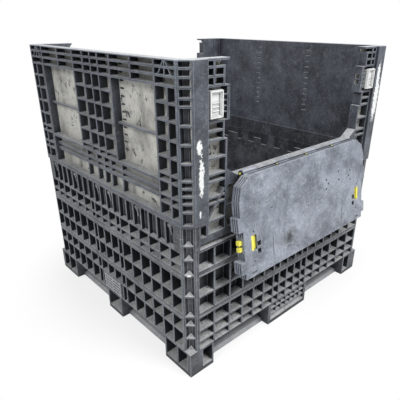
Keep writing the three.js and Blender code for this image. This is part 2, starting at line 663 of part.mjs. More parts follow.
function endWallCells(hingeZ) {
  const edge = END_WALL_HALF - RIB;
  const divider = END_WALL_HALF - POST_DIVIDER;
  const rail = hingeZ + END_WALL / 2 + RIB / 2;
  const sill = SILL_Z - END_WALL / 2;
  const cell = (x, z) => (z[1] - z[0] > RIB ? endCells(END_FACE_Y, END_CELL_DEPTH, [x], [z]) : []);
  const whole = (inner, lines) => bays(lines).flatMap((z) => cell([-edge, -inner - RIB], z));
  const split = (inner, lines) =>
    bays(lines).flatMap((z) => [
      ...cell([-edge, -divider - RIB / 2], z),
      ...cell([-divider + RIB / 2, -inner - RIB], z),
    ]);
  const halved = ([low, high]) => [low, (low + high) / 2, high];
  const rows = POST_RISES.map((d) => SILL_Z + d).filter((z) => z < LOWER_NOTCH[0] - 2 * RIB);
  const post = [
    ...split(POST_HOUSING_EDGE, [UPPER_NOTCH[1], HEIGHT - RIB / 2]),
    ...split(POST_NOTCH, halved(UPPER_NOTCH)),
    ...whole(POST_NOTCH, halved(LOWER_NOTCH)),
    ...whole(POST_EDGE, [FOOT_TOP, ...rows, LOWER_NOTCH[0]]),
    ...cell([-edge, -POST_EDGE - RIB], [rail, FOOT_TOP - RIB / 2]),
    ...cell([-FOOT_HALF + RIB, -END_WALL_HALF - RIB / 2], [hingeZ + END_WALL / 2, footTop(hingeZ) - RIB]),
  ];
  const railColumns = bays([-POST_EDGE, ...steps(RAIL_PITCH, POST_EDGE - RAIL_PITCH / 2), POST_EDGE]);
  const railRows = bays([rail, (rail + sill) / 2, sill]);
  return [
    ...post,
    ...post.map((c) => c.mirror([1, 0, 0])),
    ...endCells(END_FACE_Y, END_CELL_DEPTH, railColumns, railRows),
  ];
}

// The diagonal rib that crosses a post's lower cells.
function postBrace() {
  const out = -END_WALL_HALF + RIB / 2;
  const inner = -POST_EDGE - 1.5 * RIB;
  const low = FOOT_TOP + RIB / 2;
  const high = SILL_Z + BRACE_RISE;
  const points = [
    [out, low],
    [inner, high],
    [inner, high + BRACE_HEIGHT],
    [out, low + BRACE_HEIGHT],
  ];
  return prism(points, "y", [-END_FACE_Y, -END_FACE_Y + END_CELL_DEPTH + PAST]);
}

// The wall latch's housing with its rim slot, and the slots that a door latch's tips snap into.
function latchHousing() {
  const inner = -POST_HOUSING_EDGE - HOUSING_RIM;
  const cavity = box(
    [-END_WALL_HALF + RIB, inner],
    [-END_FACE_Y - PAST, -END_FACE_Y + END_CELL_DEPTH + PAST],
    shrink(HOUSING_Z, RIB / 2),
  );
  const rimSlot = box([-END_WALL_HALF - PAST, -END_WALL_HALF + RIB + PAST], ...tongueSection(FIT));
  const tipHalf = TIP / 2 + SWING;
  const tipSlots = [-1, 1].map((side) => {
    const tipZ = LATCH_Z + (side * TIP_SPACING) / 2;
    const tipY = [-END_AXIS_Y - tipHalf, -END_AXIS_Y + tipHalf];
    return box([inner - PAST, -POST_HOUSING_EDGE + PAST], tipY, [tipZ - tipHalf, tipZ + tipHalf]);
  });
  return [cavity, rimSlot, ...tipSlots];
}

function doorKnuckleSpans(extra) {
  const half = DOOR_KNUCKLE_LENGTH / 2 + extra;
  const first = DOOR_KNUCKLE_FIRST - SILL_CORNER;
  const count = 1 + Math.floor((-2 * first) / DOOR_KNUCKLE_PITCH);
  const middles = Array.from({ length: count }, (_, i) => first + i * DOOR_KNUCKLE_PITCH);
  return middles.map((x) => [x - half, x + half]);
}

// The stretches of the door's hinge line that belong to the end wall.
function wallKnuckleSpans(extra) {
  const ends = [-SILL_CORNER + RIM, ...doorKnuckleSpans(0).flat(), SILL_CORNER - RIM];
  const spans = [];
  for (let i = 0; i < ends.length; i += 2) {
    spans.push([ends[i] + DOOR_SWING_CLEAR - extra, ends[i + 1] - DOOR_SWING_CLEAR + extra]);
  }
  return spans;
}

const doorKnuckle = (span, radius) => prism(circle(-DOOR_AXIS_Y, DOOR_AXIS_Z, radius), "x", span);

function makeEndWall(hingeZ) {
  const brace = postBrace();
  const knuckles = wallKnuckleSpans(0).map((s) => doorKnuckle(s, DOOR_KNUCKLE_R));
  const open = cut(endWallShell(hingeZ), endWallCells(hingeZ));
  const ribbed = join([open, brace, brace.mirror([1, 0, 0]), ...knuckles]);
  const housing = latchHousing();
  return cut(ribbed, [
    ...housing,
    ...housing.map((c) => c.mirror([1, 0, 0])),
    ...knuckleNotches(hingeZ),
    endBore(hingeZ),
    ...doorKnuckleSpans(DOOR_SWING_CLEAR).map((s) => doorKnuckle(s, DOOR_KNUCKLE_R + DOOR_SWING_CLEAR + PAST)),
    doorKnuckle([-SILL_CORNER, SILL_CORNER], BORE_R),
  ]);
}

// Drop door, modelled closed in the doorway at -Y and then swung down to where it hangs.
function makeDoor() {
  const hinge = DOOR_AXIS_Z + DOOR_SWING_CLEAR;
  const tabEdge = POST_NOTCH - DOOR_CLEAR;
  const half = [
    [SILL_CORNER - DOOR_HEEL_INSET, hinge],
    [SILL_CORNER + DOOR_HEEL_RUN, hinge + DOOR_HEEL_RISE],
    [POST_EDGE - DOOR_CLEAR, SILL_Z + DOOR_HEEL_TOP],
    [POST_EDGE - DOOR_CLEAR, LOWER_NOTCH[0] + DOOR_CLEAR],
    [tabEdge, LOWER_NOTCH[0] + DOOR_CLEAR],
    [tabEdge, LOWER_NOTCH[1] - DOOR_CLEAR],
    [DOOR_EDGE, LOWER_NOTCH[1] - DOOR_CLEAR],
    [DOOR_EDGE, UPPER_NOTCH[0] + DOOR_CLEAR],
    [tabEdge, UPPER_NOTCH[0] + DOOR_CLEAR],
    [tabEdge, UPPER_NOTCH[1] - DOOR_CLEAR],
    [DOOR_EDGE, UPPER_NOTCH[1] - DOOR_CLEAR],
    [DOOR_EDGE, DOOR_AXIS_Z + DOOR_LENGTH],
  ];
  const outline = [...half, ...half.map(([x, z]) => [-x, z]).reverse()];
  const slab = prism(outline, "y", [-END_FACE_Y, -END_BACK_Y]);
  const knuckles = doorKnuckleSpans(0).map((s) => doorKnuckle(s, DOOR_KNUCKLE_R));
  const ribbedX = LATCH_POCKET_X - DOOR_SOLID;
  const ribbedZ = [DOOR_AXIS_Z + DOOR_RIB_START, DOOR_AXIS_Z + DOOR_LENGTH - RIB];
  const columns = bays(spread([-ribbedX, ribbedX], DOOR_RIB_BAYS[0]));
  const cells = endCells(END_FACE_Y, DOOR_CELL_DEPTH, columns, bays(spread(ribbedZ, DOOR_RIB_BAYS[1])));
  const pocketX = [LATCH_POCKET_X, DOOR_EDGE - RIM + FIT];
  const bodyZ = [LATCH_Z - LATCH_BODY[1] / 2 - FIT, LATCH_Z + LATCH_BODY[1] / 2 + FIT];
  const bodyY = [-END_AXIS_Y - LATCH_BODY[2] / 2 - FIT, -END_AXIS_Y + LATCH_BODY[2] / 2 + FIT];
  const latchPocket = box(pocketX, bodyY, bodyZ);
  const service = box(pocketX, [-END_FACE_Y - PAST, bodyY[0] + PAST], bodyZ);
  const tipHoles = [-1, 1].map((side) => {
    const z = LATCH_Z + (side * TIP_SPACING) / 2;
    const tipHalf = TIP / 2 + FIT;
    const tipY = [-END_AXIS_Y - tipHalf, -END_AXIS_Y + tipHalf];
    return box([DOOR_EDGE - RIM, POST_NOTCH], tipY, [z - tipHalf, z + tipHalf]);
  });
  const slot = box(
    [DOOR_EDGE - LATCH_WINDOW[0], DOOR_EDGE - LATCH_WINDOW[0] + LATCH_WINDOW[1] + LATCH_TRAVEL],
    [bodyY[1] - PAST, -END_BACK_Y + PAST],
    [LATCH_Z - LATCH_WINDOW[2] / 2, LATCH_Z + LATCH_WINDOW[2] / 2],
  );
  const latchCuts = [latchPocket, service, ...tipHoles, slot];
  return cut(join([slab, ...knuckles]), [
    ...cells,
    ...latchCuts,
    ...latchCuts.map((c) => c.mirror([1, 0, 0])),
    ...wallKnuckleSpans(DOOR_SWING_CLEAR).map((s) => doorKnuckle(s, DOOR_KNUCKLE_R + DOOR_SWING_CLEAR)),
    doorKnuckle([-SILL_CORNER, SILL_CORNER], BORE_R),
  ]);
}

// Door latch for the door's +X edge, in the closed door.
function makeDoorLatch() {
  const bodyX = [DOOR_EDGE - RIM - LATCH_BODY[0], DOOR_EDGE - RIM - SWING / 2];
  const body = box(
    bodyX,
    [-END_AXIS_Y - LATCH_BODY[2] / 2, -END_AXIS_Y + LATCH_BODY[2] / 2],
    [LATCH_Z - LATCH_BODY[1] / 2, LATCH_Z + LATCH_BODY[1] / 2],
  );
  const tips = [-1, 1].map((side) => {
    const tipZ = LATCH_Z + (side * TIP_SPACING) / 2;
    return box(
      [bodyX[1] - PAST, DOOR_EDGE + TIP_REACH],
      [-END_AXIS_Y - TIP / 2, -END_AXIS_Y + TIP / 2],
      [tipZ - TIP / 2, tipZ + TIP / 2],
    );
  });
  const gripEnd = DOOR_EDGE - LATCH_WINDOW[0] + LATCH_TRAVEL;
  const grip = box(
    [gripEnd + FIT, gripEnd + LATCH_WINDOW[1] - FIT],
    [-END_AXIS_Y, -END_BACK_Y - FIT],
    [LATCH_Z - LATCH_WINDOW[2] / 2 + FIT, LATCH_Z + LATCH_WINDOW[2] / 2 - FIT],
  );
  return join([body, grip, ...tips]);
}

// Wall latch for the post at -X: a handle plate over the housing's rim, its grip and its tongue.
function makeWallLatch() {
  const plate = box(
    [-HANDLE_X[1], -HANDLE_X[0]],
    [-END_FACE_Y - FIT - HANDLE_PLATE, -END_FACE_Y - FIT],
    HANDLE_Z,
  );
  const gripX = [-END_WALL_HALF + RIB + TONGUE_TRAVEL + FIT, -HANDLE_X[0] - HANDLE_LIP];
  const grip = box(gripX, [-END_FACE_Y - PAST, -END_FACE_Y + HANDLE_GRIP], shrink(HANDLE_Z, HANDLE_LIP));
  const tongue = box([-TONGUE_END, gripX[0] + PAST], ...tongueSection(0));
  return join([plate, grip, tongue]);
}

const rod = (points, axis, half) => prism(points, axis, [-half, half]);

// Materials
const material = (color, roughness) => new THREE.MeshStandardMaterial({ color, roughness, metalness: 0 });
const charcoal = material("#4a505a", 0.75);
const doorGrey = material("#7b8089", 0.7);
const runnerGrey = material("#9a9da3", 0.75);
const latchWhite = material("#e8eaea", 0.5);
const latchYellow = material("#ece45a", 0.5);
const steel = new THREE.MeshStandardMaterial({ color: "#6a6a68", roughness: 0.5, metalness: 0.8 });

// A solid as a named mesh with a material of its own.
function mesh(name, body, look) {
  const { vertProperties, triVerts, numProp } = body.getMesh();
  const position = new Float32Array((vertProperties.length / numProp) * 3);
  for (let i = 0; i < position.length / 3; i += 1) {
    position.set(vertProperties.subarray(i * numProp, i * numProp + 3), i * 3);
  }
  const geometry = new THREE.BufferGeometry();
  geometry.setAttribute("position", new THREE.BufferAttribute(position, 3));
  geometry.setIndex(new THREE.BufferAttribute(new Uint32Array(triVerts), 1));
  geometry.computeVertexNormals();
  const made = new THREE.Mesh(geometry, look.clone());
  made.name = name;
  return made;
}

// A closed door or one of its pieces, swung about the hinge line to where it hangs.
function hanging(pieces) {
  const swing = new THREE.Group();
  swing.position.set(0, -DOOR_AXIS_Y, DOOR_AXIS_Z);
  swing.rotation.x = THREE.MathUtils.degToRad(180 - DOOR_TILT);
  pieces.forEach((piece) => {
    piece.position.set(0, DOOR_AXIS_Y, -DOOR_AXIS_Z);
    swing.add(piece);
  });
  return swing;
}

// One end of the container: its wall, door, rods and latches. The rear end is turned about Z.
function end(name, hingeZ) {
  const group = new THREE.Group();
  const axis = circle(-END_AXIS_Y, hingeZ, ROD_R);
  const doorAxis = circle(-DOOR_AXIS_Y, DOOR_AXIS_Z, ROD_R);
  const sides = name === "front" ? ["left", "right"] : ["right", "left"];
  group.add(mesh(`end_wall_${name}`, makeEndWall(hingeZ), charcoal));
  group.add(mesh(`end_hinge_rod_${name}`, rod(axis, "x", END_WALL_HALF - FIT), steel));
  group.add(mesh(`door_hinge_rod_${name}`, rod(doorAxis, "x", SILL_CORNER - RIM), steel));
  group.add(mesh(`wall_latch_${name}_${sides[0]}`, makeWallLatch(), latchWhite));
  group.add(mesh(`wall_latch_${name}_${sides[1]}`, makeWallLatch().mirror([1, 0, 0]), latchWhite));
  group.add(
    hanging([
      mesh(`door_${name}`, makeDoor(), doorGrey),
      mesh(`door_latch_${name}_${sides[1]}`, makeDoorLatch(), latchYellow),
      mesh(`door_latch_${name}_${sides[0]}`, makeDoorLatch().mirror([1, 0, 0]), latchYellow),
    ]),
  );
  if (name === "rear") group.rotation.z = Math.PI;
  return group;
}

function side(name) {
  const group = new THREE.Group();
  const axis = circle(-SIDE_ROD_X, SIDE_ROD_Z, ROD_R);
  group.add(mesh(`side_wall_${name}`, makeSideWall(), charcoal));
  group.add(mesh(`side_hinge_rod_${name}`, rod(axis, "y", SIDE_LUG_END - FIT), steel));
  if (name === "right") group.rotation.z = Math.PI;
  return group;
}

const container = new THREE.Group();
container.name = "bulk_container";
container.add(mesh("base", makeBase(), charcoal));
container.add(mesh("skid_frame", makeSkidFrame(), runnerGrey));
container.add(side("left"), side("right"));
container.add(end("front", FRONT_HINGE_Z), end("rear", REAR_HINGE_Z));

export default container;
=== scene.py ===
import math

import bmesh
import bpy
from bpy.props import FloatProperty, FloatVectorProperty, PointerProperty
from mathutils import Matrix, Vector


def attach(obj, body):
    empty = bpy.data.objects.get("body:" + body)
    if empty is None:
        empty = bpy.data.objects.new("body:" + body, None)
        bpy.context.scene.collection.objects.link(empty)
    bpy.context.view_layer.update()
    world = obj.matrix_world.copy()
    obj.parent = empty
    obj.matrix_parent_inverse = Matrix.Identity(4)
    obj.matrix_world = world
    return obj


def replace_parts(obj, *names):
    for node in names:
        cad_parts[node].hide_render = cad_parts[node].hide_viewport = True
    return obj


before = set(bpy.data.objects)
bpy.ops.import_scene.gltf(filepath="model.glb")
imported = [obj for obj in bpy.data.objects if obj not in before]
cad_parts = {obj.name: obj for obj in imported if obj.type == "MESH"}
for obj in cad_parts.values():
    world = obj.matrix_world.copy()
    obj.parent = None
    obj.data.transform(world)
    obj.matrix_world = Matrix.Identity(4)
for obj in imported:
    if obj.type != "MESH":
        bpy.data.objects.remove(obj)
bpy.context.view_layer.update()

# A collapsible bulk container of ribbed polyethylene: finishes for its CAD nodes, the fine pieces that they
# leave out, and a studio. Lengths are metres in the row frame, +Z up, with the front doorway at -Y.

bl_info = {
    "name": "Ribbed bulk container",
    "version": (1, 0, 0),
    "blender": (4, 5, 0),
    "location": "View3D > Sidebar > Container",
    "description": "Finishes, fine pieces and studio for a collapsible bulk container",
    "category": "Object",
}

MM = 0.001

# Outer faces of the side walls, the base, the corner columns and the end walls, the back of an end wall, and
# the stacking rims
SIDE_X = 0.6095
BASE_X = 0.6065
BASE_Y = 0.5655
COLUMN_Y = 0.5715
END_FACE_Y = 0.5595
END_BACK_Y = 0.5195
TOP_Z = 1.188
# From a wall's outer face to the floor of its recesses, and to the back of a side wall's skin
WALL_RECESS = 0.034
END_RECESS = 0.031
SKIN_BACK = 0.046
# From a corner of the base to the middle of its chamfer, along each side
CHAMFER = 0.0185
# The door hinges' axis, the edge beside it when a door is closed, and how far the doors have swung at rest
DOOR_AXIS_Y = 0.5645
DOOR_AXIS_Z = 0.797
DOOR_HEEL_Z = 0.7985
DOOR_SWING = math.radians(172)

# What is on the left and at the front is there again on the right and at the rear, turned half round.
HALF_TURN = Matrix.Rotation(math.pi, 4, "Z")
SIDES = (("left", Matrix.Identity(4)), ("right", HALF_TURN))
ENDS = (("front", Matrix.Identity(4)), ("rear", HALF_TURN))


def linear(code):
    """The linear values of a colour's sRGB hex code, with its alpha."""
    parts = [int(code[i : i + 2], 16) / 255 for i in (1, 3, 5)]
    return [c / 12.92 if c <= 0.04045 else ((c + 0.055) / 1.055) ** 2.4 for c in parts] + [1]


def colour_property(name, code, description):
    return FloatVectorProperty(
        name=name, description=description, subtype="COLOR", size=4, min=0, max=1, default=linear(code)
    )


def length_property(name, value, description):
    return FloatProperty(
        name=name, description=description, default=value, min=0, unit="LENGTH", precision=4
    )


def power_property(name, value, description):
    return FloatProperty(name=name, description=description, default=value, min=0, unit="POWER")


class ContainerColours(bpy.types.PropertyGroup):
    """Colours of the container's plastics, steel, dust and paint"""

    charcoal: colour_property("Charcoal", "#1a1d23", "Walls, as moulded")
    # Also the colour of the painted highlights on rib edges.
    charcoal_wear_and_highlight: colour_property("Worn charcoal", "#858c99", "Rib edges and open faces, scuffed pale")
    # The base's pockets keep this colour, so its darkness there is painted shade.
    base_charcoal: colour_property("Base charcoal", "#11141a", "Base, as moulded")
    # Also the colour of the painted highlights on the base's rib edges.
    base_wear_and_highlight: colour_property("Worn base", "#a0a6b0", "Rib edges of the base, scuffed palest")
    # Also the painted light on faces that look up.
    dust: colour_property("Dust", "#c4c5c5", "Dust on faces that look up")
    film: colour_property("Recess film", "#bab9b3", "Dried tan film on the floors of the recesses")
    door: colour_property("Door", "#474d59", "Door panels, as moulded")
    door_worn: colour_property("Worn door", "#9aa0ac", "Door panels where goods have slid")
    runner: colour_property("Runner", "#7f8288", "Ground runners, as moulded")
    runner_worn: colour_property("Worn runner", "#b4b5b6", "Ground runners, worn pale")
    white: colour_property("White nylon", "#dfe1e1", "Wall latches")
    # Also the painted shade in the latches' corners.
    white_grime_and_shade: colour_property("Handled white nylon", "#8f908d", "Grime on the wall latches")
    yellow: colour_property("Yellow nylon", "#ece45a", "Door latches, rod plugs and hinge pins")
    yellow_worn: colour_property("Handled yellow nylon", "#c3b848", "Grime on the yellow parts")
    black: colour_property("Black acetal", "#15161a", "Washers and bushings")
    black_worn: colour_property("Rubbed black acetal", "#2b2c2f", "Washers and bushings where they rub")
    steel: colour_property("Zinc plate", "#8b8a86", "Hinge rods")
    rust: colour_property("Rust", "#4a3426", "Rust in the plating's pores")
    paint: colour_property("Old paint", "#e2e4e4", "Worn white paint on the corner columns")
    rim: colour_property("Stacking rim", "#c9ccd0", "Top edges that other containers have rubbed")


class ContainerSizes(bpy.types.PropertyGroup):
    """Sizes of the fine pieces"""

    edge_round: length_property("Edge radius", 1.6 * MM, "Radius that the mould leaves on every rib")
    # This width also sets how wide the painted edge highlights are.
    edge_wear_highlight_width: length_property("Edge wear", 4.2 * MM, "How far from an edge the plastic is scuffed pale")
    bolt_hole: length_property("Drilled hole", 5.5 * MM, "Radius of the small holes drilled in a door")
    bushing: length_property("Bushing", 9.5 * MM, "Radius of the black bushings along a door's hinge edge")
    brace: length_property("Brace", 5 * MM, "Thickness of the braces in a side wall's top rail")
    slat: length_property("Louvre slat", 7.5 * MM, "Height of a slat in the base's louvres")


class ContainerStudio(bpy.types.PropertyGroup):
    """Floor, light and camera"""

    floor: colour_property("Floor", "#f2f2f1", "Vinyl floor")
    floor_worn: colour_property("Walked floor", "#ececeb", "Vinyl floor where it is duller")
    key_power: power_property("Key power", 185, "Power of the lamp over the front")
    fill_power: power_property("Fill power", 80, "Power of the lamp at the left")
    ambience: FloatProperty(
        name="Ambience", description="Strength of the light from all round", default=0.42, min=0
    )
    lens: FloatProperty(
        name="Lens", description="Focal length on a 36 mm sensor", default=37.36, unit="CAMERA"
    )


def colours():
    return bpy.context.scene.container_colours


def sizes():
    return bpy.context.scene.container_sizes


# Settings that several nodes share
TIMES = {"operation": "MULTIPLY", "use_clamp": True}
PLUS = {"operation": "ADD", "use_clamp": True}
ABSOLUTE = {"operation": "ABSOLUTE"}
LENGTH = {"operation": "LENGTH"}
SMOOTH = {"interpolation_type": "SMOOTHSTEP"}
# Inputs of a mix of two colours
SHARE = 0
UNDER = 6
OVER = 7

# Where a mask starts and ends on what drives it, and what it gives there if that isn't nought and one
SPANS = {
    "worn_lit_edge": (0.998, 0.9),
    "rubbed_face": (0.28, 0.72),
    "speckle": (0.3, 0.7, 0.72, 1.1),
    "dust_and_light_upward": (0.4, 0.9),
    "dust_mottle": (0.25, 0.65, 0.45, 1.0),
    "dust_blotch": (0.25, 0.6, 0.55, 1.0),
    "rim_upward": (0.5, 0.9),
    "rim_height": (TOP_Z - 3 * MM, TOP_Z - 1 * MM),
    "rim_mottle": (0.3, 0.6, 0.35, 1.0),
    "film_depth": (2 * MM, 1 * MM),
    "film_facing": (0.8, 0.95),
    "film_streak": (0.45, 0.8, 0.0, 0.4),
    "film_dark": (0.47, 0.68, 0.0, 0.95),
    "film_pale": (0.42, 0.3, 0.0, 0.5),
    "film_spot": (0.555, 0.6),
    "film_speck": (0.68, 0.72),
    "scratch": (0.62, 0.7),
    "scuff_pale": (0.5, 0.66),
    "scuff_dark": (0.48, 0.34),
    "weathered_sheen": (0.2, 0.8),
    "grime_and_shade_corner": (0.9, 0.45),
    "grime_cloud": (0.3, 0.7, 0.5, 1.0),
    "grime_spot": (0.55, 0.8, 0.0, 0.5),
    "moulded_sheen": (0.3, 0.7),
    "rust": (0.5, 0.68),
    "rust_roughness": (0.3, 0.7, 0.35, 0.7),
    "floor_fade": (0.7, 1.1, 0.72, 1.0),
}

# The look of a weathered plastic. pocket is how deep, in metres, a corner must be to stay dark, which paints
# shade into the pockets, and shut and open are how open a face is where wear starts and where it is full.
# rub_low and rub_high are the least and most wear of an open face, and edge, rim, dust, scratch and scuff say
# how strong those marks are. The pale edges are wear and painted highlight, and the dust on faces that look
# up is dust and painted light. blotch is the width of a blotch in millimetres.
WALL_LOOK = {
    "pocket": 0.05,
    "shut": 0.42,
    "open": 0.96,
    "rub_low": 0.12,
    "rub_high": 0.46,
    "edge": 0.9,
    "rim": 0.9,
    "dust": 0.8,
    "scratch": 0.5,
    "scuff": 0.2,
    "rough": 0.5,
    "bump": 0.35,
    "blotch": 90,
    "swirl": 0.0,
}
# The base reaches further for its painted shade, so its pockets are darker.
BASE_LOOK = {
    **WALL_LOOK, "rub_low": 0.03, "rub_high": 0.36, "dust": 1.0, "pocket": 0.08, "rim": 0.0, "edge": 1.0,
    "shut": 0.45,
}
DOOR_LOOK = {
    **WALL_LOOK, "rub_low": 0.1, "rub_high": 1.0, "edge": 0.6, "dust": 0.3, "scratch": 0.9, "blotch": 150,
    "swirl": 0.8, "rim": 0.0, "scuff": 0.42,
}
# A shaded copy of the wall's look for the low inner skirts: painted shade.
SHADED_SKIRT_LOOK = {**WALL_LOOK, "rub_low": 0.0, "rub_high": 0.16, "edge": 0.35, "rim": 0.0}
RUNNER_LOOK = {**WALL_LOOK, "rub_low": 0.3, "rub_high": 0.9, "edge": 0.4, "dust": 0.3, "rim": 0.0}

# How much smoother and rougher a plastic is in places, and how much of its relief each mark gives
WEATHERED_CHANGE = (-0.08, 0.1)
MOULDED_CHANGE = (-0.06, 0.1)
MOTTLE_RELIEF = 0.7
SCRATCH_RELIEF = 0.3
RELIEF_DEPTH = 0.4 * MM
# Brightness of the film where it is dull, how much of it a spot hides, and dark scuffs beside pale ones
FILM_DULL = 0.42
SPOT_COVER = 0.92
DARK_SCUFF = 1.3
EDGE_SAMPLES = 4
CORNER_SAMPLES = 6
CORNER_REACH = 8 * MM
# A mark that is stretched the same along each axis
EVEN = (1, 1, 1)


def add(tree, kind, inputs=(), **settings):
    """Adds a node, with its own settings and its inputs in order or by name.

    An input is given a value, a socket, or a node, which then feeds it from the first output in use.
    """
    made = tree.nodes.new("ShaderNode" + kind)
    for name, value in settings.items():
        setattr(made, name, value)
    for name, value in inputs.items() if isinstance(inputs, dict) else enumerate(inputs):
        if isinstance(value, bpy.types.Node):
            value = next(output for output in value.outputs if output.enabled)
        if isinstance(value, bpy.types.NodeSocket):
            tree.links.new(value, made.inputs[name])
        else:
            made.inputs[name].default_value = value
    return made


def new_material(name):
    material = bpy.data.materials.new(name)
    material.use_nodes = True
    tree = material.node_tree
    tree.nodes.clear()
    return material, tree


def grow_marks(tree, place, **marks):
    """Cloudy marks, each given by its millimetres across, detail, roughness, stretch by axis and swirl."""
    grown = {}
    for name, (size, detail, roughness, stretch, swirl) in marks.items():
        mapped = add(tree, "Mapping", {"Vector": place, "Scale": stretch})
        shape = {"Scale": 1 / (size * MM), "Detail": detail, "Roughness": roughness, "Distortion": swirl}
        grown[name] = add(tree, "TexNoise", {"Vector": mapped, **shape})
    return grown


def mask(tree, *terms):
    """The product of its terms: a number, node or socket, or a driver with its span's name and results."""
    product = None
    for term in terms:
        if isinstance(term, tuple):
            driver, span, *gives = term
            term = add(tree, "MapRange", [driver, *SPANS[span], *gives], **SMOOTH)
        product = term if product is None else add(tree, "Math", [product, term], **TIMES)
    return product


def layer(tree, under, over, *terms):
    """Lays a colour over another as far as the terms' mask says."""
    return add(tree, "Mix", {SHARE: mask(tree, *terms), UNDER: under, OVER: over}, data_type="RGBA")


def finish_material(tree, colour, roughness, relief, bump_strength, **settings):
    """Joins colour, roughness and relief to a shader with rounded edges, and that to the output."""
    round_edge = add(tree, "Bevel", {"Radius": sizes().edge_round}, samples=EDGE_SAMPLES)
    bumps = {"Strength": bump_strength, "Distance": RELIEF_DEPTH, "Height": relief, "Normal": round_edge}
    surface = {**settings, "Base Color": colour, "Roughness": roughness, "Normal": add(tree, "Bump", bumps)}
    add(tree, "OutputMaterial", {"Surface": add(tree, "BsdfPrincipled", surface)})


def rubbed_colour(tree, marks, look, open_unshaded_face, fresh, worn):
    """The plastic as moulded, scuffed pale on open faces, and pale on its edges as wear and painted
    highlight.
    """
    # Where the normal of a rounded edge leaves the flat one, there is an edge, painted pale as wear and as
    # highlight.
    round_normal = add(tree, "Bevel", {"Radius": sizes().edge_wear_highlight_width}, samples=EDGE_SAMPLES)
    flat_normal = add(tree, "NewGeometry").outputs["Normal"]
    lean = add(tree, "VectorMath", [round_normal, flat_normal], operation="DOT_PRODUCT")
    rubbed = mask(tree, open_unshaded_face, (marks["blotch"], "rubbed_face", look["rub_low"], look["rub_high"]))
    worn_lit_edge_mask = mask(tree, (lean, "worn_lit_edge"), look["edge"])
    scuffed = add(tree, "Math", [rubbed, worn_lit_edge_mask], **PLUS)
    return layer(tree, fresh, worn, scuffed, (marks["mottle"], "speckle"))


def film_layer(tree, place, facing, recess, under, fresh):
    """The tan film that has dried on the floors of the recesses, torn by dark spots and specks."""
    axis, depth = recess
    tint = colours()
    dull = [FILM_DULL * channel for channel in tint.film[:3]] + [1]
    marks = grow_marks(
        tree,
        place,
        streak=(40, 4, 0.6, (1, 1, 0.22), 0),
        cloud=(120, 5, 0.6, (1, 1, 0.6), 0.6),
        spot=(44, 7, 0.82, EVEN, 0.4),
        speck=(9, 3, 0.6, EVEN, 0),
    )
    film = layer(tree, tint.film, dull, (marks["streak"], "film_streak"))
    film = layer(tree, film, dull, (marks["cloud"], "film_dark"))
    film = layer(tree, film, tint.rim, (marks["cloud"], "film_pale"))
    spots = mask(tree, (marks["spot"], "film_spot"))
    specks = mask(tree, (marks["speck"], "film_speck"))
    film = layer(tree, film, fresh, add(tree, "Math", [spots, specks], **PLUS), SPOT_COVER)
    where = add(tree, "SeparateXYZ", [place]).outputs[axis]
    from_middle = add(tree, "Math", [where], **ABSOLUTE)
    beyond = add(tree, "Math", [from_middle, depth], operation="SUBTRACT")
    off_floor = add(tree, "Math", [beyond], **ABSOLUTE)
    square_on = add(tree, "Math", [facing.outputs[axis]], **ABSOLUTE)
    return layer(tree, under, film, (off_floor, "film_depth"), (square_on, "film_facing"))


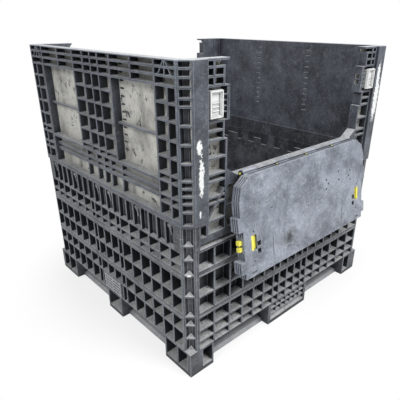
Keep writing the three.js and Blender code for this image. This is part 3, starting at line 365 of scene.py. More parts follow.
def weathered_plastic(name, fresh, worn, look, recess=None, patches=()):
    """Moulded polyethylene left outdoors: worn faces, edges pale with wear and painted highlight, pockets in
    painted shade, and dust on top that also paints light.

    recess is the axis and depth of the floors that hold a tan film. A patch is a function that makes its
    mask, and the colour that shows there.
    """
    material, tree = new_material(name)
    tint = colours()
    coordinates = add(tree, "TexCoord")
    place = coordinates.outputs["Object"]
    facing = add(tree, "SeparateXYZ", [coordinates.outputs["Normal"]])
    upward = facing.outputs["Z"]
    # Real scratches and mottle are finer, and are drawn as coarse as they need to show.
    marks = grow_marks(
        tree,
        place,
        blotch=(look["blotch"], 6, 0.64, EVEN, look["swirl"]),
        mottle=(7, 4, 0.65, EVEN, 0),
        scratch=(16, 3, 0.6, (0.25, 0.25, 6), 0),
    )
    mottle, blotch = marks["mottle"], marks["blotch"]
    # Occlusion keeps the pockets in the moulded black as painted shade, while the open faces beside them wear
    # pale.
    shade_occlusion = add(tree, "AmbientOcclusion", {"Distance": look["pocket"]}, samples=CORNER_SAMPLES)
    open_unshaded_face = add(tree, "MapRange", [shade_occlusion.outputs["AO"], look["shut"], look["open"]], **SMOOTH)
    colour = rubbed_colour(tree, marks, look, open_unshaded_face, fresh, worn)
    # Dust on faces that look up, strong enough to stand also for the light that falls on them: dust and
    # painted light.
    dust_and_top_light = ((upward, "dust_and_light_upward"), look["dust"], (mottle, "dust_mottle"), (blotch, "dust_blotch"))
    colour = layer(tree, colour, tint.dust, *dust_and_top_light)
    if look["rim"]:
        height = add(tree, "SeparateXYZ", [place]).outputs["Z"]
        stacked = ((upward, "rim_upward"), look["rim"], (height, "rim_height"), (mottle, "rim_mottle"))
        colour = layer(tree, colour, tint.rim, *stacked)
    if recess:
        colour = film_layer(tree, place, facing, recess, colour, fresh)
    for patch, paint in patches:
        colour = layer(tree, colour, paint, patch(tree, place))
    colour = layer(tree, colour, worn, (marks["scratch"], "scratch"), open_unshaded_face, look["scratch"])
    # Goods dragged over a face leave fine swirls, pale on dark.
    scuff = grow_marks(tree, place, scuff=(34, 8, 0.85, EVEN, 2.2))["scuff"]
    colour = layer(tree, colour, tint.rim, (scuff, "scuff_pale"), open_unshaded_face, look["scuff"])
    colour = layer(tree, colour, fresh, (scuff, "scuff_dark"), open_unshaded_face, look["scuff"] * DARK_SCUFF)
    sheen = [look["rough"] + change for change in WEATHERED_CHANGE]
    roughness = mask(tree, (mottle, "weathered_sheen", *sheen))
    mottled = mask(tree, mottle, MOTTLE_RELIEF)
    scratched = mask(tree, marks["scratch"], SCRATCH_RELIEF)
    relief = add(tree, "Math", [mottled, scratched], **PLUS)
    shine = {"IOR": 1.5, "Specular IOR Level": 0.5}
    finish_material(tree, colour, roughness, relief, look["bump"], **shine)
    return material


def small_plastic(name, fresh, worn, rough):
    """Plastic moulded in a polished tool: even colour and a soft sheen, with grime and painted shade in its
    corners.
    """
    material, tree = new_material(name)
    place = add(tree, "TexCoord").outputs["Object"]
    marks = grow_marks(tree, place, cloud=(18, 4, 0.6, EVEN, 0), grain=(2.5, 2, 0.5, EVEN, 0))
    # Occlusion darkens the corners: grime, and painted shade.
    shade_occlusion = add(tree, "AmbientOcclusion", {"Distance": CORNER_REACH}, samples=CORNER_SAMPLES)
    corners = mask(tree, (shade_occlusion.outputs["AO"], "grime_and_shade_corner"), (marks["cloud"], "grime_cloud"))
    spots = mask(tree, (marks["cloud"], "grime_spot"))
    colour = layer(tree, fresh, worn, add(tree, "Math", [corners, spots], **PLUS))
    sheen = [rough + change for change in MOULDED_CHANGE]
    roughness = mask(tree, (marks["grain"], "moulded_sheen", *sheen))
    finish_material(tree, colour, roughness, marks["grain"], bump_strength=0.15, IOR=1.53)
    return material


def plated_steel(name):
    """Drawn and zinc-plated steel rod: grey with a dull shine, and brown rust where the plating is gone."""
    material, tree = new_material(name)
    place = add(tree, "TexCoord").outputs["Object"]
    pores = grow_marks(tree, place, pores=(5, 4, 0.7, EVEN, 0))["pores"]
    colour = layer(tree, colours().steel, colours().rust, (pores, "rust"))
    roughness = mask(tree, (pores, "rust_roughness"))
    finish_material(tree, colour, roughness, pores, bump_strength=0.3, Metallic=0.85)
    return material


def ragged_patch(tree, place, centre, half, ragged, tear, soft=0.12):
    """A mask for a patch: its centre, half width along each axis, raggedness, and a tear in millimetres."""
    scale = [1 / h for h in half]
    shift = [-c / h for c, h in zip(centre, half)]
    moved = add(tree, "Mapping", {"Vector": place, "Scale": scale, "Location": shift})
    reach = add(tree, "VectorMath", [moved], **LENGTH)
    cloud = grow_marks(tree, place, tear=(tear, 5, 0.7, EVEN, 0))["tear"]
    torn = add(tree, "Math", [cloud, ragged, reach], operation="MULTIPLY_ADD")
    edge = 1.0 + 0.5 * ragged
    return add(tree, "MapRange", [torn, edge, edge - soft], **SMOOTH)


# Worn paint on the left and right columns' end faces: middle across and up, half width, half height and
# raggedness
LEFT_SMEARS = (
    (-0.554, 0.930, 0.012, 0.022, 3.0),
    (-0.545, 0.828, 0.010, 0.066, 3.6),
    (-0.552, 0.7, 0.004, 0.014, 2.4),
)
RIGHT_SMEARS = ((0.540, 1.06, 0.013, 0.055, 3.4), (0.546, 0.955, 0.02, 0.1, 2.6))
SMEAR_REACH = 4 * MM
SMEAR_TEAR = 11
# Chips of the same paint on the base's near corner: height, half width, half height
FLECKS = ((0.612, 0.011, 0.006), (0.487, 0.013, 0.009), (0.459, 0.008, 0.005))
FLECK_RAGGED = 2.4
FLECK_TEAR = 9
# The ring that a pail has left on the front door: its middle across the door and out from the hinge, then
# the half widths, raggedness, tear and softness of its ring and of its heart, and how strong they are
STAIN_PLACE = (-0.15, 0.304)
STAIN_RING = ((0.07, 0.03, 0.06), 0.9, 22, 0.9)
STAIN_HEART = ((0.022, 0.02, 0.02), 0.8, 16, 0.8)
RING_STRENGTH = 0.75
HEART_STRENGTH = 0.25


def smear(x, z, half_x, half_z, ragged):
    """A patch of worn paint on a corner column's end face."""
    centre = (x, -COLUMN_Y, z)
    half = (half_x, SMEAR_REACH, half_z)
    return lambda tree, place: ragged_patch(tree, place, centre, half, ragged, SMEAR_TEAR)


def fleck(z, half_width, half_height):
    """A chip of the same paint on the base's near corner."""
    centre = (-BASE_X + CHAMFER, -BASE_Y + CHAMFER, z)
    half = (half_width, half_width, half_height)
    return lambda tree, place: ragged_patch(tree, place, centre, half, FLECK_RAGGED, FLECK_TEAR)


def hang():
    """The turn from the closed front door to where it hangs."""
    pivot = Matrix.Translation((0, -DOOR_AXIS_Y, DOOR_AXIS_Z))
    return pivot @ Matrix.Rotation(DOOR_SWING, 4, "X") @ pivot.inverted()


def door_stain(tree, place):
    """The dull ring on the front door's inner face."""
    across, reach = STAIN_PLACE
    centre = hang() @ Vector((across, -END_BACK_Y, DOOR_AXIS_Z + reach))
    ring = mask(tree, ragged_patch(tree, place, centre, *STAIN_RING), RING_STRENGTH)
    heart = mask(tree, ragged_patch(tree, place, centre, *STAIN_HEART), HEART_STRENGTH)
    return add(tree, "Math", [ring, heart], **PLUS)


# The finished materials by their short names, filled by the first operator
MATERIALS = {}


def paint_node(name, material):
    """Gives a CAD node its finish."""
    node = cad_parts[name]
    node.data.materials.clear()
    node.data.materials.append(MATERIALS[material])


class CONTAINER_OT_finishes(bpy.types.Operator):
    """Makes the materials and gives every CAD node its finish"""

    bl_idname = "container.finishes"
    bl_label = "Finishes"

    def execute(self, context):
        tint = colours()
        flecks = [(fleck(*entry), tint.paint) for entry in FLECKS]
        smears = {
            "left": [(smear(*entry), tint.paint) for entry in LEFT_SMEARS],
            "right": [(smear(*entry), tint.paint) for entry in RIGHT_SMEARS],
        }
        # High-density polyethylene foam, injection moulded: nearly black and matt, chalky grey where rubbed.
        MATERIALS["base"] = weathered_plastic(
            "HDPE foam moulded charcoal base", tint.base_charcoal, tint.base_wear_and_highlight, BASE_LOOK, None, flecks
        )
        # The same foam, a shade lighter, with a tan film dried in its recesses and its top edges rubbed pale.
        wall = (tint.charcoal, tint.charcoal_wear_and_highlight, WALL_LOOK)
        MATERIALS["end"] = weathered_plastic(
            "HDPE foam moulded charcoal end wall", *wall, (1, END_FACE_Y - END_RECESS)
        )
        # The side walls are the same, with the last of some white paint on their corner columns.
        for side, _turn in SIDES:
            name = f"HDPE foam moulded charcoal {side} wall"
            MATERIALS[side] = weathered_plastic(name, *wall, (0, SIDE_X - WALL_RECESS), smears[side])
        # The same plastic low inside, with little wear and kept close to black as painted shade, with a faint
        # sheen.
        MATERIALS["skirt"] = weathered_plastic(
            "HDPE foam moulded charcoal skirt", tint.charcoal, tint.charcoal_wear_and_highlight, SHADED_SKIRT_LOOK
        )
        # Solid polyethylene in a paler grey, with a smooth inner skin that goods have scuffed almost white.
        door = (tint.door, tint.door_worn, DOOR_LOOK)
        MATERIALS["door_rear"] = weathered_plastic("HDPE moulded grey door", *door)
        stain = [(door_stain, tint.charcoal)]
        MATERIALS["door_front"] = weathered_plastic("HDPE moulded grey stained door", *door, None, stain)
        # Runners are moulded apart in a harder grade, and the ground wears them to a flat pale grey.
        MATERIALS["runner"] = weathered_plastic(
            "HDPE moulded grey runner", tint.runner, tint.runner_worn, RUNNER_LOOK
        )
        # Nylon from a polished tool: clean white with a soft sheen, and finger grime and painted shade round
        # its ribs.
        MATERIALS["white"] = small_plastic("Nylon moulded white", tint.white, tint.white_grime_and_shade, rough=0.38)
        # The same nylon in a light yellow, a little duller.
        MATERIALS["yellow"] = small_plastic("Nylon moulded yellow", tint.yellow, tint.yellow_worn, rough=0.4)
        # Acetal, moulded and then rubbed by the pins: black with a dull shine.
        MATERIALS["black"] = small_plastic("Acetal moulded black", tint.black, tint.black_worn, rough=0.42)
        # Zinc plate on a drawn rod: dull grey with a broken shine and brown pores.
        MATERIALS["steel"] = plated_steel("Steel drawn zinc plated")
        paint_node("base", "base")
        paint_node("skid_frame", "runner")
        for end, _turn in ENDS:
            paint_node(f"end_wall_{end}", "end")
            paint_node(f"door_{end}", f"door_{end}")
            paint_node(f"end_hinge_rod_{end}", "steel")
            paint_node(f"door_hinge_rod_{end}", "steel")
            for side, _turn in SIDES:
                paint_node(f"wall_latch_{end}_{side}", "white")
                paint_node(f"door_latch_{end}_{side}", "yellow")
        for side, _turn in SIDES:
            paint_node(f"side_wall_{side}", side)
            paint_node(f"side_hinge_rod_{side}", "steel")
        return {"FINISHED"}


# Edges that bend by more than this, in radians, are softened in so many steps.
SHARP = 0.6
SOFT_STEPS = 2


def prism(shape, outline, push):
    """Adds a closed prism: an outline of points and the way that it is pushed."""
    near = [shape.verts.new(p) for p in outline]
    far = [shape.verts.new(Vector(p) + Vector(push)) for p in outline]
    shape.faces.new(near[::-1])
    shape.faces.new(far)
    count = len(outline)
    for i in range(count):
        shape.faces.new((near[i], near[(i + 1) % count], far[(i + 1) % count], far[i]))


def block(shape, x, y, z):
    """Adds a rectangular block between the given ends along each axis."""
    outline = [(x[0], y[0], z[0]), (x[1], y[0], z[0]), (x[1], y[1], z[0]), (x[0], y[1], z[0])]
    prism(shape, outline, (0, 0, z[1] - z[0]))


def disc(centre, radius, push, sides=20):
    """An outline round a centre, square to the way that it will be pushed."""
    way = Vector(push).normalized()
    across = way.orthogonal().normalized()
    up = way.cross(across)
    turns = [2 * math.pi * i / sides for i in range(sides)]
    return [Vector(centre) + radius * (math.cos(t) * across + math.sin(t) * up) for t in turns]


def beside(line, shift):
    """A line moved sideways, to its right where the shift is above nought."""
    moved = []
    for i, point in enumerate(line):
        ahead = Vector(line[min(i + 1, len(line) - 1)]) - Vector(line[max(i - 1, 0)])
        ahead.normalize()
        moved.append((point[0] + shift * ahead.y, point[1] - shift * ahead.x))
    return moved


def place_object(name, data, body, material):
    """Puts a mesh in the scene with its material, riding on a body."""
    made = bpy.data.objects.new(name, data)
    bpy.context.scene.collection.objects.link(made)
    data.materials.clear()
    data.materials.append(MATERIALS[material])
    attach(made, body)
    return made


def make_piece(name, shape, body, material, soften=0.0, turn=None):
    """Turns a shape into a piece, with its sharp edges softened and then turned into place."""
    bmesh.ops.recalc_face_normals(shape, faces=shape.faces)
    if soften:
        sharp = [edge for edge in shape.edges if edge.is_manifold and edge.calc_face_angle(0) > SHARP]
        options = {"segments": SOFT_STEPS, "profile": 0.5, "affect": "EDGES", "clamp_overlap": True}
        bmesh.ops.bevel(shape, geom=sharp, offset=soften, **options)
    if turn is not None:
        bmesh.ops.transform(shape, matrix=turn, verts=shape.verts)
    data = bpy.data.meshes.new(name)
    shape.to_mesh(data)
    shape.free()
    place_object(name, data, body, material)


def carve_node(name, node, cutter, material):
    """A copy of a CAD node with a cutter's shape taken out of it, which then stands for the node."""
    bmesh.ops.recalc_face_normals(cutter, faces=cutter.faces)
    tool_data = bpy.data.meshes.new(name + "_tool")
    cutter.to_mesh(tool_data)
    cutter.free()
    tool = bpy.data.objects.new(name + "_tool", tool_data)
    stock = bpy.data.objects.new(name + "_stock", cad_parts[node].data.copy())
    for made in (tool, stock):
        bpy.context.scene.collection.objects.link(made)
    carve = stock.modifiers.new("carve", "BOOLEAN")
    carve.operation = "DIFFERENCE"
    carve.solver = "EXACT"
    carve.object = tool
    data = bpy.data.meshes.new_from_object(stock.evaluated_get(bpy.context.evaluated_depsgraph_get()))
    data.name = name
    for made in (tool, stock):
        bpy.data.objects.remove(made)
    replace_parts(place_object(name, data, node, material), node)


class CONTAINER_OT_wall_braces(bpy.types.Operator):
    """Adds the crossed braces in the top rail of each side wall"""

    bl_idname = "container.wall_braces"
    bl_label = "Wall braces"

    # Start and end of the two cells along the rail, and the rail's lower and upper inner faces
    cells = ((0.4295, 0.5285), (-0.5285, -0.4185))
    low, high = 1.1435, 1.1845
    # From a cell's middle to a slanted brace's foot and to its top
    foot_reach = 0.032
    top_reach = 0.004
    # How far the braces stay inside the wall's outer face, and how deep they go
    inset = 0.001
    depth = WALL_RECESS - 0.002

    def execute(self, context):
        half = sizes().brace / 2
        outer = -SIDE_X + self.inset
        for side, turn in SIDES:
            shape = bmesh.new()
            for start, end in self.cells:
                middle = (start + end) / 2
                for lean in (-1, 1, 0):
                    foot = middle + lean * self.foot_reach
                    top = middle + lean * self.top_reach
                    outline = [
                        (outer, -(foot - half), self.low),
                        (outer, -(foot + half), self.low),
                        (outer, -(top + half), self.high),
                        (outer, -(top - half), self.high),
                    ]
                    prism(shape, outline, (self.depth, 0, 0))
            make_piece(f"wall_braces_{side}", shape, "base", side, 0.4 * MM, turn)
        return {"FINISHED"}


class CONTAINER_OT_vent_slats(bpy.types.Operator):
    """Adds the slanted slats in the vents of each side wall"""

    bl_idname = "container.vent_slats"
    bl_label = "Vent slats"

    # Middles of the vents along the wall, and half the width of a slat
    vents = (0.155, -0.180)
    half_width = 0.0122
    # Number of slats, height of the lowest, and from one to the next
    count = 12
    lowest = 0.846
    pitch = 0.028
    # How far a slat stays inside the skin's faces, and the heights of its edges at the outer and inner face
    clear = 0.0008
    outer_rise = (0.0026, 0.0038)
    inner_rise = (-0.0038, -0.0026)

    def execute(self, context):
        outer = -SIDE_X + WALL_RECESS + self.clear
        inner = -SIDE_X + SKIN_BACK - self.clear
        for side, turn in SIDES:
            shape = bmesh.new()
            for vent in self.vents:
                edge = vent - self.half_width
                for i in range(self.count):
                    z = self.lowest + self.pitch * i
                    outline = [
                        (outer, edge, z + self.outer_rise[0]),
                        (inner, edge, z + self.inner_rise[0]),
                        (inner, edge, z + self.inner_rise[1]),
                        (outer, edge, z + self.outer_rise[1]),
                    ]
                    prism(shape, outline, (0, 2 * self.half_width, 0))
            make_piece(f"vent_slats_{side}", shape, "base", side, 0.0, turn)
        return {"FINISHED"}


class CONTAINER_OT_wall_skirts(bpy.types.Operator):
    """Adds the stepped lower edge of each side wall's inner skin, which fits round the hinge fingers"""

    bl_idname = "container.wall_skirts"
    bl_label = "Wall skirts"

    # Hinge fingers: start and end from the middle of the wall, and the height that they reach
    fingers = ((0.025, 0.078, 0.6575), (0.128, 0.185, 0.630), (0.235, 0.290, 0.6575), (0.325, 0.410, 0.630))
    gap = 0.0015
    # The skirt's inner face, the tub's and the wall's, its lower and upper edges, and half its length
    inner, tub, wall = -0.5505, -0.5568, -0.5637
    low, high = 0.600, 0.662
    end = 0.514
    slope_height = 0.07
    # A pale ledge lies over each low finger, its runner grey a painted highlight on the tub's top edge: how
    # far it stands out, how far it stays off the finger's ends, and its lower and upper faces, down from the
    # skirt's edge
    ledge_out = 0.0002
    ledge_inset = 0.002
    ledge_drop = (0.0085, 0.0045)
    low_finger = 0.65
    shortest_ledge = 0.01

    def skirt_steps(self):
        """The skirt's lower edge along the wall, stepped over each finger."""
        half = [(0.0, self.low)]
        for start, stop, top in self.fingers:
            start, stop, top = start - self.gap, stop + self.gap, top + self.gap
            half += [(start, self.low), (start, top), (stop, top), (stop, self.low)]
        half.append((self.end, self.low))
        return [(-y, z) for y, z in reversed(half[1:])] + half[1:]

    def execute(self, context):
        inner, end, high = self.inner, self.end, self.high
        steps = self.skirt_steps()
        for side, turn in SIDES:
            shape = bmesh.new()
            outline = [(inner, y, z) for y, z in steps] + [(inner, end, high), (inner, -end, high)]
            prism(shape, outline, (self.tub - inner, 0, 0))
            top = high + self.slope_height
            slope = [(inner, -end, high), (self.wall, -end, high), (self.wall, -end, top)]
            prism(shape, slope, (0, 2 * end, 0))
            make_piece(f"wall_skirt_{side}", shape, "base", "skirt", 0.5 * MM, turn)
            ledge = bmesh.new()
            x = (self.tub, inner - self.ledge_out)
            for (y, z), (next_y, _next_z) in zip(steps, steps[1:]):
                if next_y - y > self.shortest_ledge and z < self.low_finger:
                    ends = (y + self.ledge_inset, next_y - self.ledge_inset)
                    block(ledge, x, ends, [z - drop for drop in self.ledge_drop])
            # The runner's paler grey is a painted highlight along the seam.
            make_piece(f"hinge_highlight_ledges_{side}", ledge, "base", "runner", 0.4 * MM, turn)
        return {"FINISHED"}


class CONTAINER_OT_louvres(bpy.types.Operator):
    """Adds the louvred panel over the middle foot in each side of the base"""

    bl_idname = "container.louvres"
    bl_label = "Louvres"

    # Start and end of the two rows of slats, their number, the lowest and from one to the next
    rows = ((-0.066, -0.004), (0.004, 0.066))
    count = 5
    lowest = 0.122
    pitch = 0.0158
    # A slat's nose: its proud edge, its rolled-back edge and that edge's height
    proud = 0.0028
    rolled = 0.0018
    nose = 0.0055
    depth = 0.009
    thickness = 0.0024
    # The upright bars: middles, half width, depth, and lower and upper ends
    bars = (-0.0675, 0.0, 0.0675)
    bar_half = 0.0035
    bar_depth = 0.008
    bar_ends = (0.1165, 0.1985)

    def execute(self, context):
        height = sizes().slat
        for side, turn in SIDES:
            shape = bmesh.new()
            for start, end in self.rows:
                for i in range(self.count):
                    z = self.lowest + i * self.pitch
                    outline = [
                        (-BASE_X - self.proud, -start, z),
                        (-BASE_X - self.rolled, -start, z + self.nose),
                        (-BASE_X + self.depth, -start, z + height),
                        (-BASE_X + self.depth, -start, z + height - self.thickness),
                    ]
                    prism(shape, outline, (0, start - end, 0))
            x = (-BASE_X - self.proud, -BASE_X + self.bar_depth)
            for bar in self.bars:
                block(shape, x, (-bar - self.bar_half, -bar + self.bar_half), self.bar_ends)
            make_piece(f"louvres_{side}", shape, "base", "runner", 0.3 * MM, turn)
        return {"FINISHED"}


class CONTAINER_OT_foot_ribs(bpy.types.Operator):
    """Adds the ribs that divide the middle foot at each end of the base"""

    bl_idname = "container.foot_ribs"
    bl_label = "Foot ribs"

    # How far in the ribs start and end, half the foot's width, and the top of its cells
    depth = (0.0008, 0.026)
    half_foot = 0.1225
    cell_top = 0.1105
    # Heights of the level ribs and places of the upright ones, with half the thickness of each kind
    levels = (0.052, 0.081)
    level_half = 0.002
    uprights = (-0.088, -0.0528, -0.0176, 0.0176, 0.0528, 0.088)
    upright_half = 0.0022

    def execute(self, context):
        deep = [-BASE_Y + reach for reach in self.depth]
        for end, turn in ENDS:
            shape = bmesh.new()
            for z in self.levels:
                thick = (z - self.level_half, z + self.level_half)
                block(shape, (-self.half_foot, self.half_foot), deep, thick)
            for x in self.uprights:
                across = (x - self.upright_half, x + self.upright_half)
                block(shape, across, deep, (self.levels[0], self.cell_top))
            make_piece(f"foot_ribs_{end}", shape, "base", "base", 0.0, turn)
        return {"FINISHED"}


class CONTAINER_OT_corner_wedges(bpy.types.Operator):
    """Adds the sloping shelves on the floors of the cells down each corner of the base"""

    bl_idname = "container.corner_wedges"
    bl_label = "Corner wedges"

    # Tops of the ribs between the cells
    floors = (0.1146, 0.1766, 0.2386, 0.2796, 0.3706, 0.4626, 0.5256, 0.5816)
    # How far in a wedge starts and ends, half its width there and at its crest, and its height
    near, far = 0.0008, 0.0132
    near_half = 0.0178
    far_half = 0.0078
    crest_half = 0.0025
    height = 0.014

    def execute(self, context):
        shape = bmesh.new()
        for side_x in (-1, 1):
            for side_y in (-1, 1):
                middle = Vector((side_x * (BASE_X - CHAMFER), side_y * (BASE_Y - CHAMFER), 0))
                out = Vector((side_x, side_y, 0)).normalized()
                along = Vector((-side_y, side_x, 0)).normalized()
                for floor in self.floors:
                    front = middle + Vector((0, 0, floor)) - self.near * out
                    back = middle + Vector((0, 0, floor)) - self.far * out
                    crest = back + Vector((0, 0, self.height))
                    corners = [front - self.near_half * along, front + self.near_half * along]
                    corners += [back + self.far_half * along, back - self.far_half * along]
                    corners += [crest + self.crest_half * along, crest - self.crest_half * along]
                    f0, f1, b1, b0, t1, t0 = [shape.verts.new(point) for point in corners]
                    rings = [(f0, f1, b1, b0), (f0, f1, t1, t0), (b0, b1, t1, t0)]
                    rings += [(f0, b0, t0), (f1, b1, t1)]
                    for ring in rings:
                        shape.faces.new(ring)
        make_piece("corner_wedges", shape, "base", "base")
        return {"FINISHED"}


class CONTAINER_OT_hinge_hooks(bpy.types.Operator):
    """Adds the curved hooks that hold a side wall's hinge, seen in the base's top cells"""

    bl_idname = "container.hinge_hooks"
    bl_label = "Hinge hooks"

    # Middles of the cells along the wall, and from there to a hook's heel
    cells = (-0.4671, -0.2595, -0.0519, 0.0519, 0.2595, 0.4671)
    heel = 0.016
    foot = 0.599
    # Half width and height of the outer and inner curve, and the degrees at which each curve has its points
    outer, outer_turns = (0.028, 0.042), range(10, 100, 15)
    inner, inner_turns = (0.021, 0.034), range(85, -5, -15)
    # How far in a hook starts, and its thickness
    inset = 0.002
    thickness = 0.0145

    def execute(self, context):
        curve = []
        for (width, height), turns in ((self.outer, self.outer_turns), (self.inner, self.inner_turns)):
            angles = [math.radians(turn) for turn in turns]
            curve += [(width * math.cos(angle), height * math.sin(angle)) for angle in angles]
        for side, turn in SIDES:
            shape = bmesh.new()
            for cell in self.cells:
                start = cell - self.heel
                outline = [(-BASE_X + self.inset, -(start + s), self.foot + t) for s, t in curve]
                prism(shape, outline, (self.thickness, 0, 0))
            make_piece(f"hinge_hooks_{side}", shape, "base", "base", 0.4 * MM, turn)
        return {"FINISHED"}


class CONTAINER_OT_door_panels(bpy.types.Operator):
    """Cuts the doors' finer shapes: hinge hollows, holes, catch windows, drain slots and ridged edges"""

    bl_idname = "container.door_panels"
    bl_label = "Door panels"

    # Cutters start this far outside the inner face, and a hole is this deep from there.
    proud = 0.002
    hole_depth = 0.006
    # Drilled holes, blind dimples and mirrored rivet holes, across the door and out from its hinge as the
    # inner face shows them, their sides, and how large a dimple and a rivet hole are against a drilled hole
    drilled = (
        (0.110, 0.132), (0.204, 0.116), (0.300, 0.132), (0.127, 0.153),
        (0.209, 0.154), (0.290, 0.154), (0.112, 0.173), (0.302, 0.174),
    )
    dimples = ((-0.250, 0.150), (-0.02, 0.21), (0.25, 0.33), (-0.1, 0.36))
    rivets = ((0.358, 0.212), (0.358, 0.331))
    drilled_sides, dimple_sides = 16, 12
    dimple_scale, rivet_scale = 0.7, 0.8
    # Mirrored windows that show the catches, and drain slots: start across and out from the hinge, width,
    # height and depth
    windows = ((0.320, 0.256, 0.020, 0.021, 0.017), (0.320, 0.287, 0.020, 0.021, 0.017))
    drains = ((0.348, 0.370, 0.030, 0.007, 0.008),)
    # Thin grooves: across the door, out from its hinge, and length; then their half width and depth
    grooves = ((-0.251, 0.265, 0.082), (-0.027, 0.072, 0.055), (0.235, 0.25, 0.13))
    groove_half, groove_depth = 0.0024, 0.0038
    # A door's outline beside the hinge, its tabs and its free corner, across it and out from its hinge
    edges = (
        ((0.362, 0.0077), (0.401, 0.0345), (0.417, 0.091), (0.417, 0.141)),
        ((0.430, 0.1445), (0.430, 0.1955)),
        ((0.408, 0.199), (0.408, 0.226)),
        ((0.408, 0.285), (0.408, 0.312)),
        ((0.430, 0.3155), (0.430, 0.3615)),
        ((0.408, 0.365), (0.408, 0.387)),
    )
    # The grooves between the ridges of those edges: how far they reach out of the door and into it, their
    # far sides below the inner face, and their width
    ridge_out, ridge_in = 0.004, -0.0042
    ridge_levels = (0.0105, 0.0205, 0.0305)
    ridge_width = 0.0052
    # Start and end of the hollows along a door's hinge edge, their sides through the door, and how far their
    # cutters reach below and above the edge
    hollows = ((-0.345, -0.2), (-0.168, -0.016), (0.016, 0.168), (0.2, 0.345))
    hollow_y = (-0.5475, -0.5315)
    hollow_low, hollow_high = 0.002, 0.0055

    def cut_face(self, shape):
        """Adds the cutters for what is sunk into a door's inner face."""
        skin = -END_BACK_Y + self.proud
        inward = Vector((0, -self.hole_depth, 0))
        small = sizes().bolt_hole
        mirrored = [(side * x, reach) for side in (-1, 1) for x, reach in self.rivets]
        for holes, scale, sides in (
            (self.drilled, 1, self.drilled_sides),
            (self.dimples, self.dimple_scale, self.dimple_sides),
            (mirrored, self.rivet_scale, self.drilled_sides),
        ):
            for x, reach in holes:
                centre = (x, skin, DOOR_AXIS_Z + reach)
                prism(shape, disc(centre, small * scale, inward, sides), inward)
        for x, reach, width, height, depth in (*self.windows, *self.drains):
            z = DOOR_AXIS_Z + reach
            for ends in ((x, x + width), (-x - width, -x)):
                block(shape, ends, (skin - depth, skin), (z, z + height))
        for x, reach, length in self.grooves:
            z = DOOR_AXIS_Z + reach
            across = (x - self.groove_half, x + self.groove_half)
            block(shape, across, (skin - self.groove_depth, skin), (z, z + length))

    def cut_edges(self, shape):
        """Adds the cutters for a door's ridged edges and for the hollows along its hinge."""
        for side in (-1, 1):
            for line in self.edges:
                outline = beside(line, self.ridge_out) + beside(line, self.ridge_in)[::-1]
                for level in self.ridge_levels:
                    ring = [(side * x, -END_BACK_Y - level, DOOR_AXIS_Z + reach) for x, reach in outline]
                    prism(shape, ring, (0, self.ridge_width, 0))
        z = (DOOR_HEEL_Z - self.hollow_low, DOOR_HEEL_Z + self.hollow_high)
        for ends in self.hollows:
            block(shape, ends, self.hollow_y, z)

    def execute(self, context):
        for end, turn in ENDS:
            shape = bmesh.new()
            self.cut_face(shape)
            self.cut_edges(shape)
            bmesh.ops.transform(shape, matrix=turn @ hang(), verts=shape.verts)
            carve_node(f"door_panel_{end}", f"door_{end}", shape, f"door_{end}")
        return {"FINISHED"}


class CONTAINER_OT_rod_caps(bpy.types.Operator):
    """Adds the washers and plugs on the ends of the door hinges' rods"""

    bl_idname = "container.rod_caps"
    bl_label = "Rod caps"

    rod_end = 0.3572
    # Kind, radius, how far it stands out, material and slot
    kinds = (
        ("washers", 7.2 * MM, 1.6 * MM, "black", "charcoal_plastic"),
        ("plugs", 4.4 * MM, 3.4 * MM, "yellow", "yellow_plastic"),
    )

    def execute(self, context):
        for end, turn in ENDS:
            for kind, radius, out, material, slot in self.kinds:
                shape = bmesh.new()
                for side in (-1, 1):
                    push = (side * out, 0, 0)
                    prism(shape, disc((side * self.rod_end, -DOOR_AXIS_Y, DOOR_AXIS_Z), radius, push), push)
                name = f"door_rod_{kind}_{end}"
                make_piece(name, shape, f"end_wall_{end}", material, 0.5 * MM, turn)
        return {"FINISHED"}


class CONTAINER_OT_hinge_pins(bpy.types.Operator):
    """Adds the black bushings and yellow pin ends along the hinge edge of each door"""

    bl_idname = "container.hinge_pins"
    bl_label = "Hinge pins"

    # Places across the door and through it
    places = (-0.184, 0, 0.184)
    middle_y = -0.5395
    # Kind, radius against a bushing's, how far it stands out, material and slot
    kinds = (
        ("bushings", 1, 2.2 * MM, "black", "charcoal_plastic"),
        ("pins", 0.42, 3 * MM, "yellow", "yellow_plastic"),
    )

    def execute(self, context):
        for end, turn in ENDS:
            for kind, scale, height, material, slot in self.kinds:
                shape = bmesh.new()
                push = Vector((0, 0, -height))
                for x in self.places:
                    prism(shape, disc((x, self.middle_y, DOOR_HEEL_Z), scale * sizes().bushing, push), push)
                name = f"hinge_{kind}_{end}"
                make_piece(name, shape, f"door_{end}", material, 0.4 * MM, turn @ hang())
        return {"FINISHED"}


class CONTAINER_OT_latch_teeth(bpy.types.Operator):
    """Adds the catch teeth beside the wall latches"""

    bl_idname = "container.latch_teeth"
    bl_label = "Latch teeth"

    # Heights of the teeth, half their thickness, and their ends across the wall and into it
    heights = (1.024, 1.042, 1.060, 1.078)
    half = 0.0022
    across = (0.4235, 0.4485)
    depth = (0.002, 0.0305)

    def execute(self, context):
        deep = [-END_FACE_Y + reach for reach in self.depth]
        for end, turn in ENDS:
            shape = bmesh.new()
            for side in (-1, 1):
                x = sorted(side * reach for reach in self.across)
                for z in self.heights:
                    block(shape, x, deep, (z - self.half, z + self.half))
            make_piece(
                f"latch_teeth_{end}", shape, f"end_wall_{end}", "end", 0.3 * MM, turn
            )
        return {"FINISHED"}


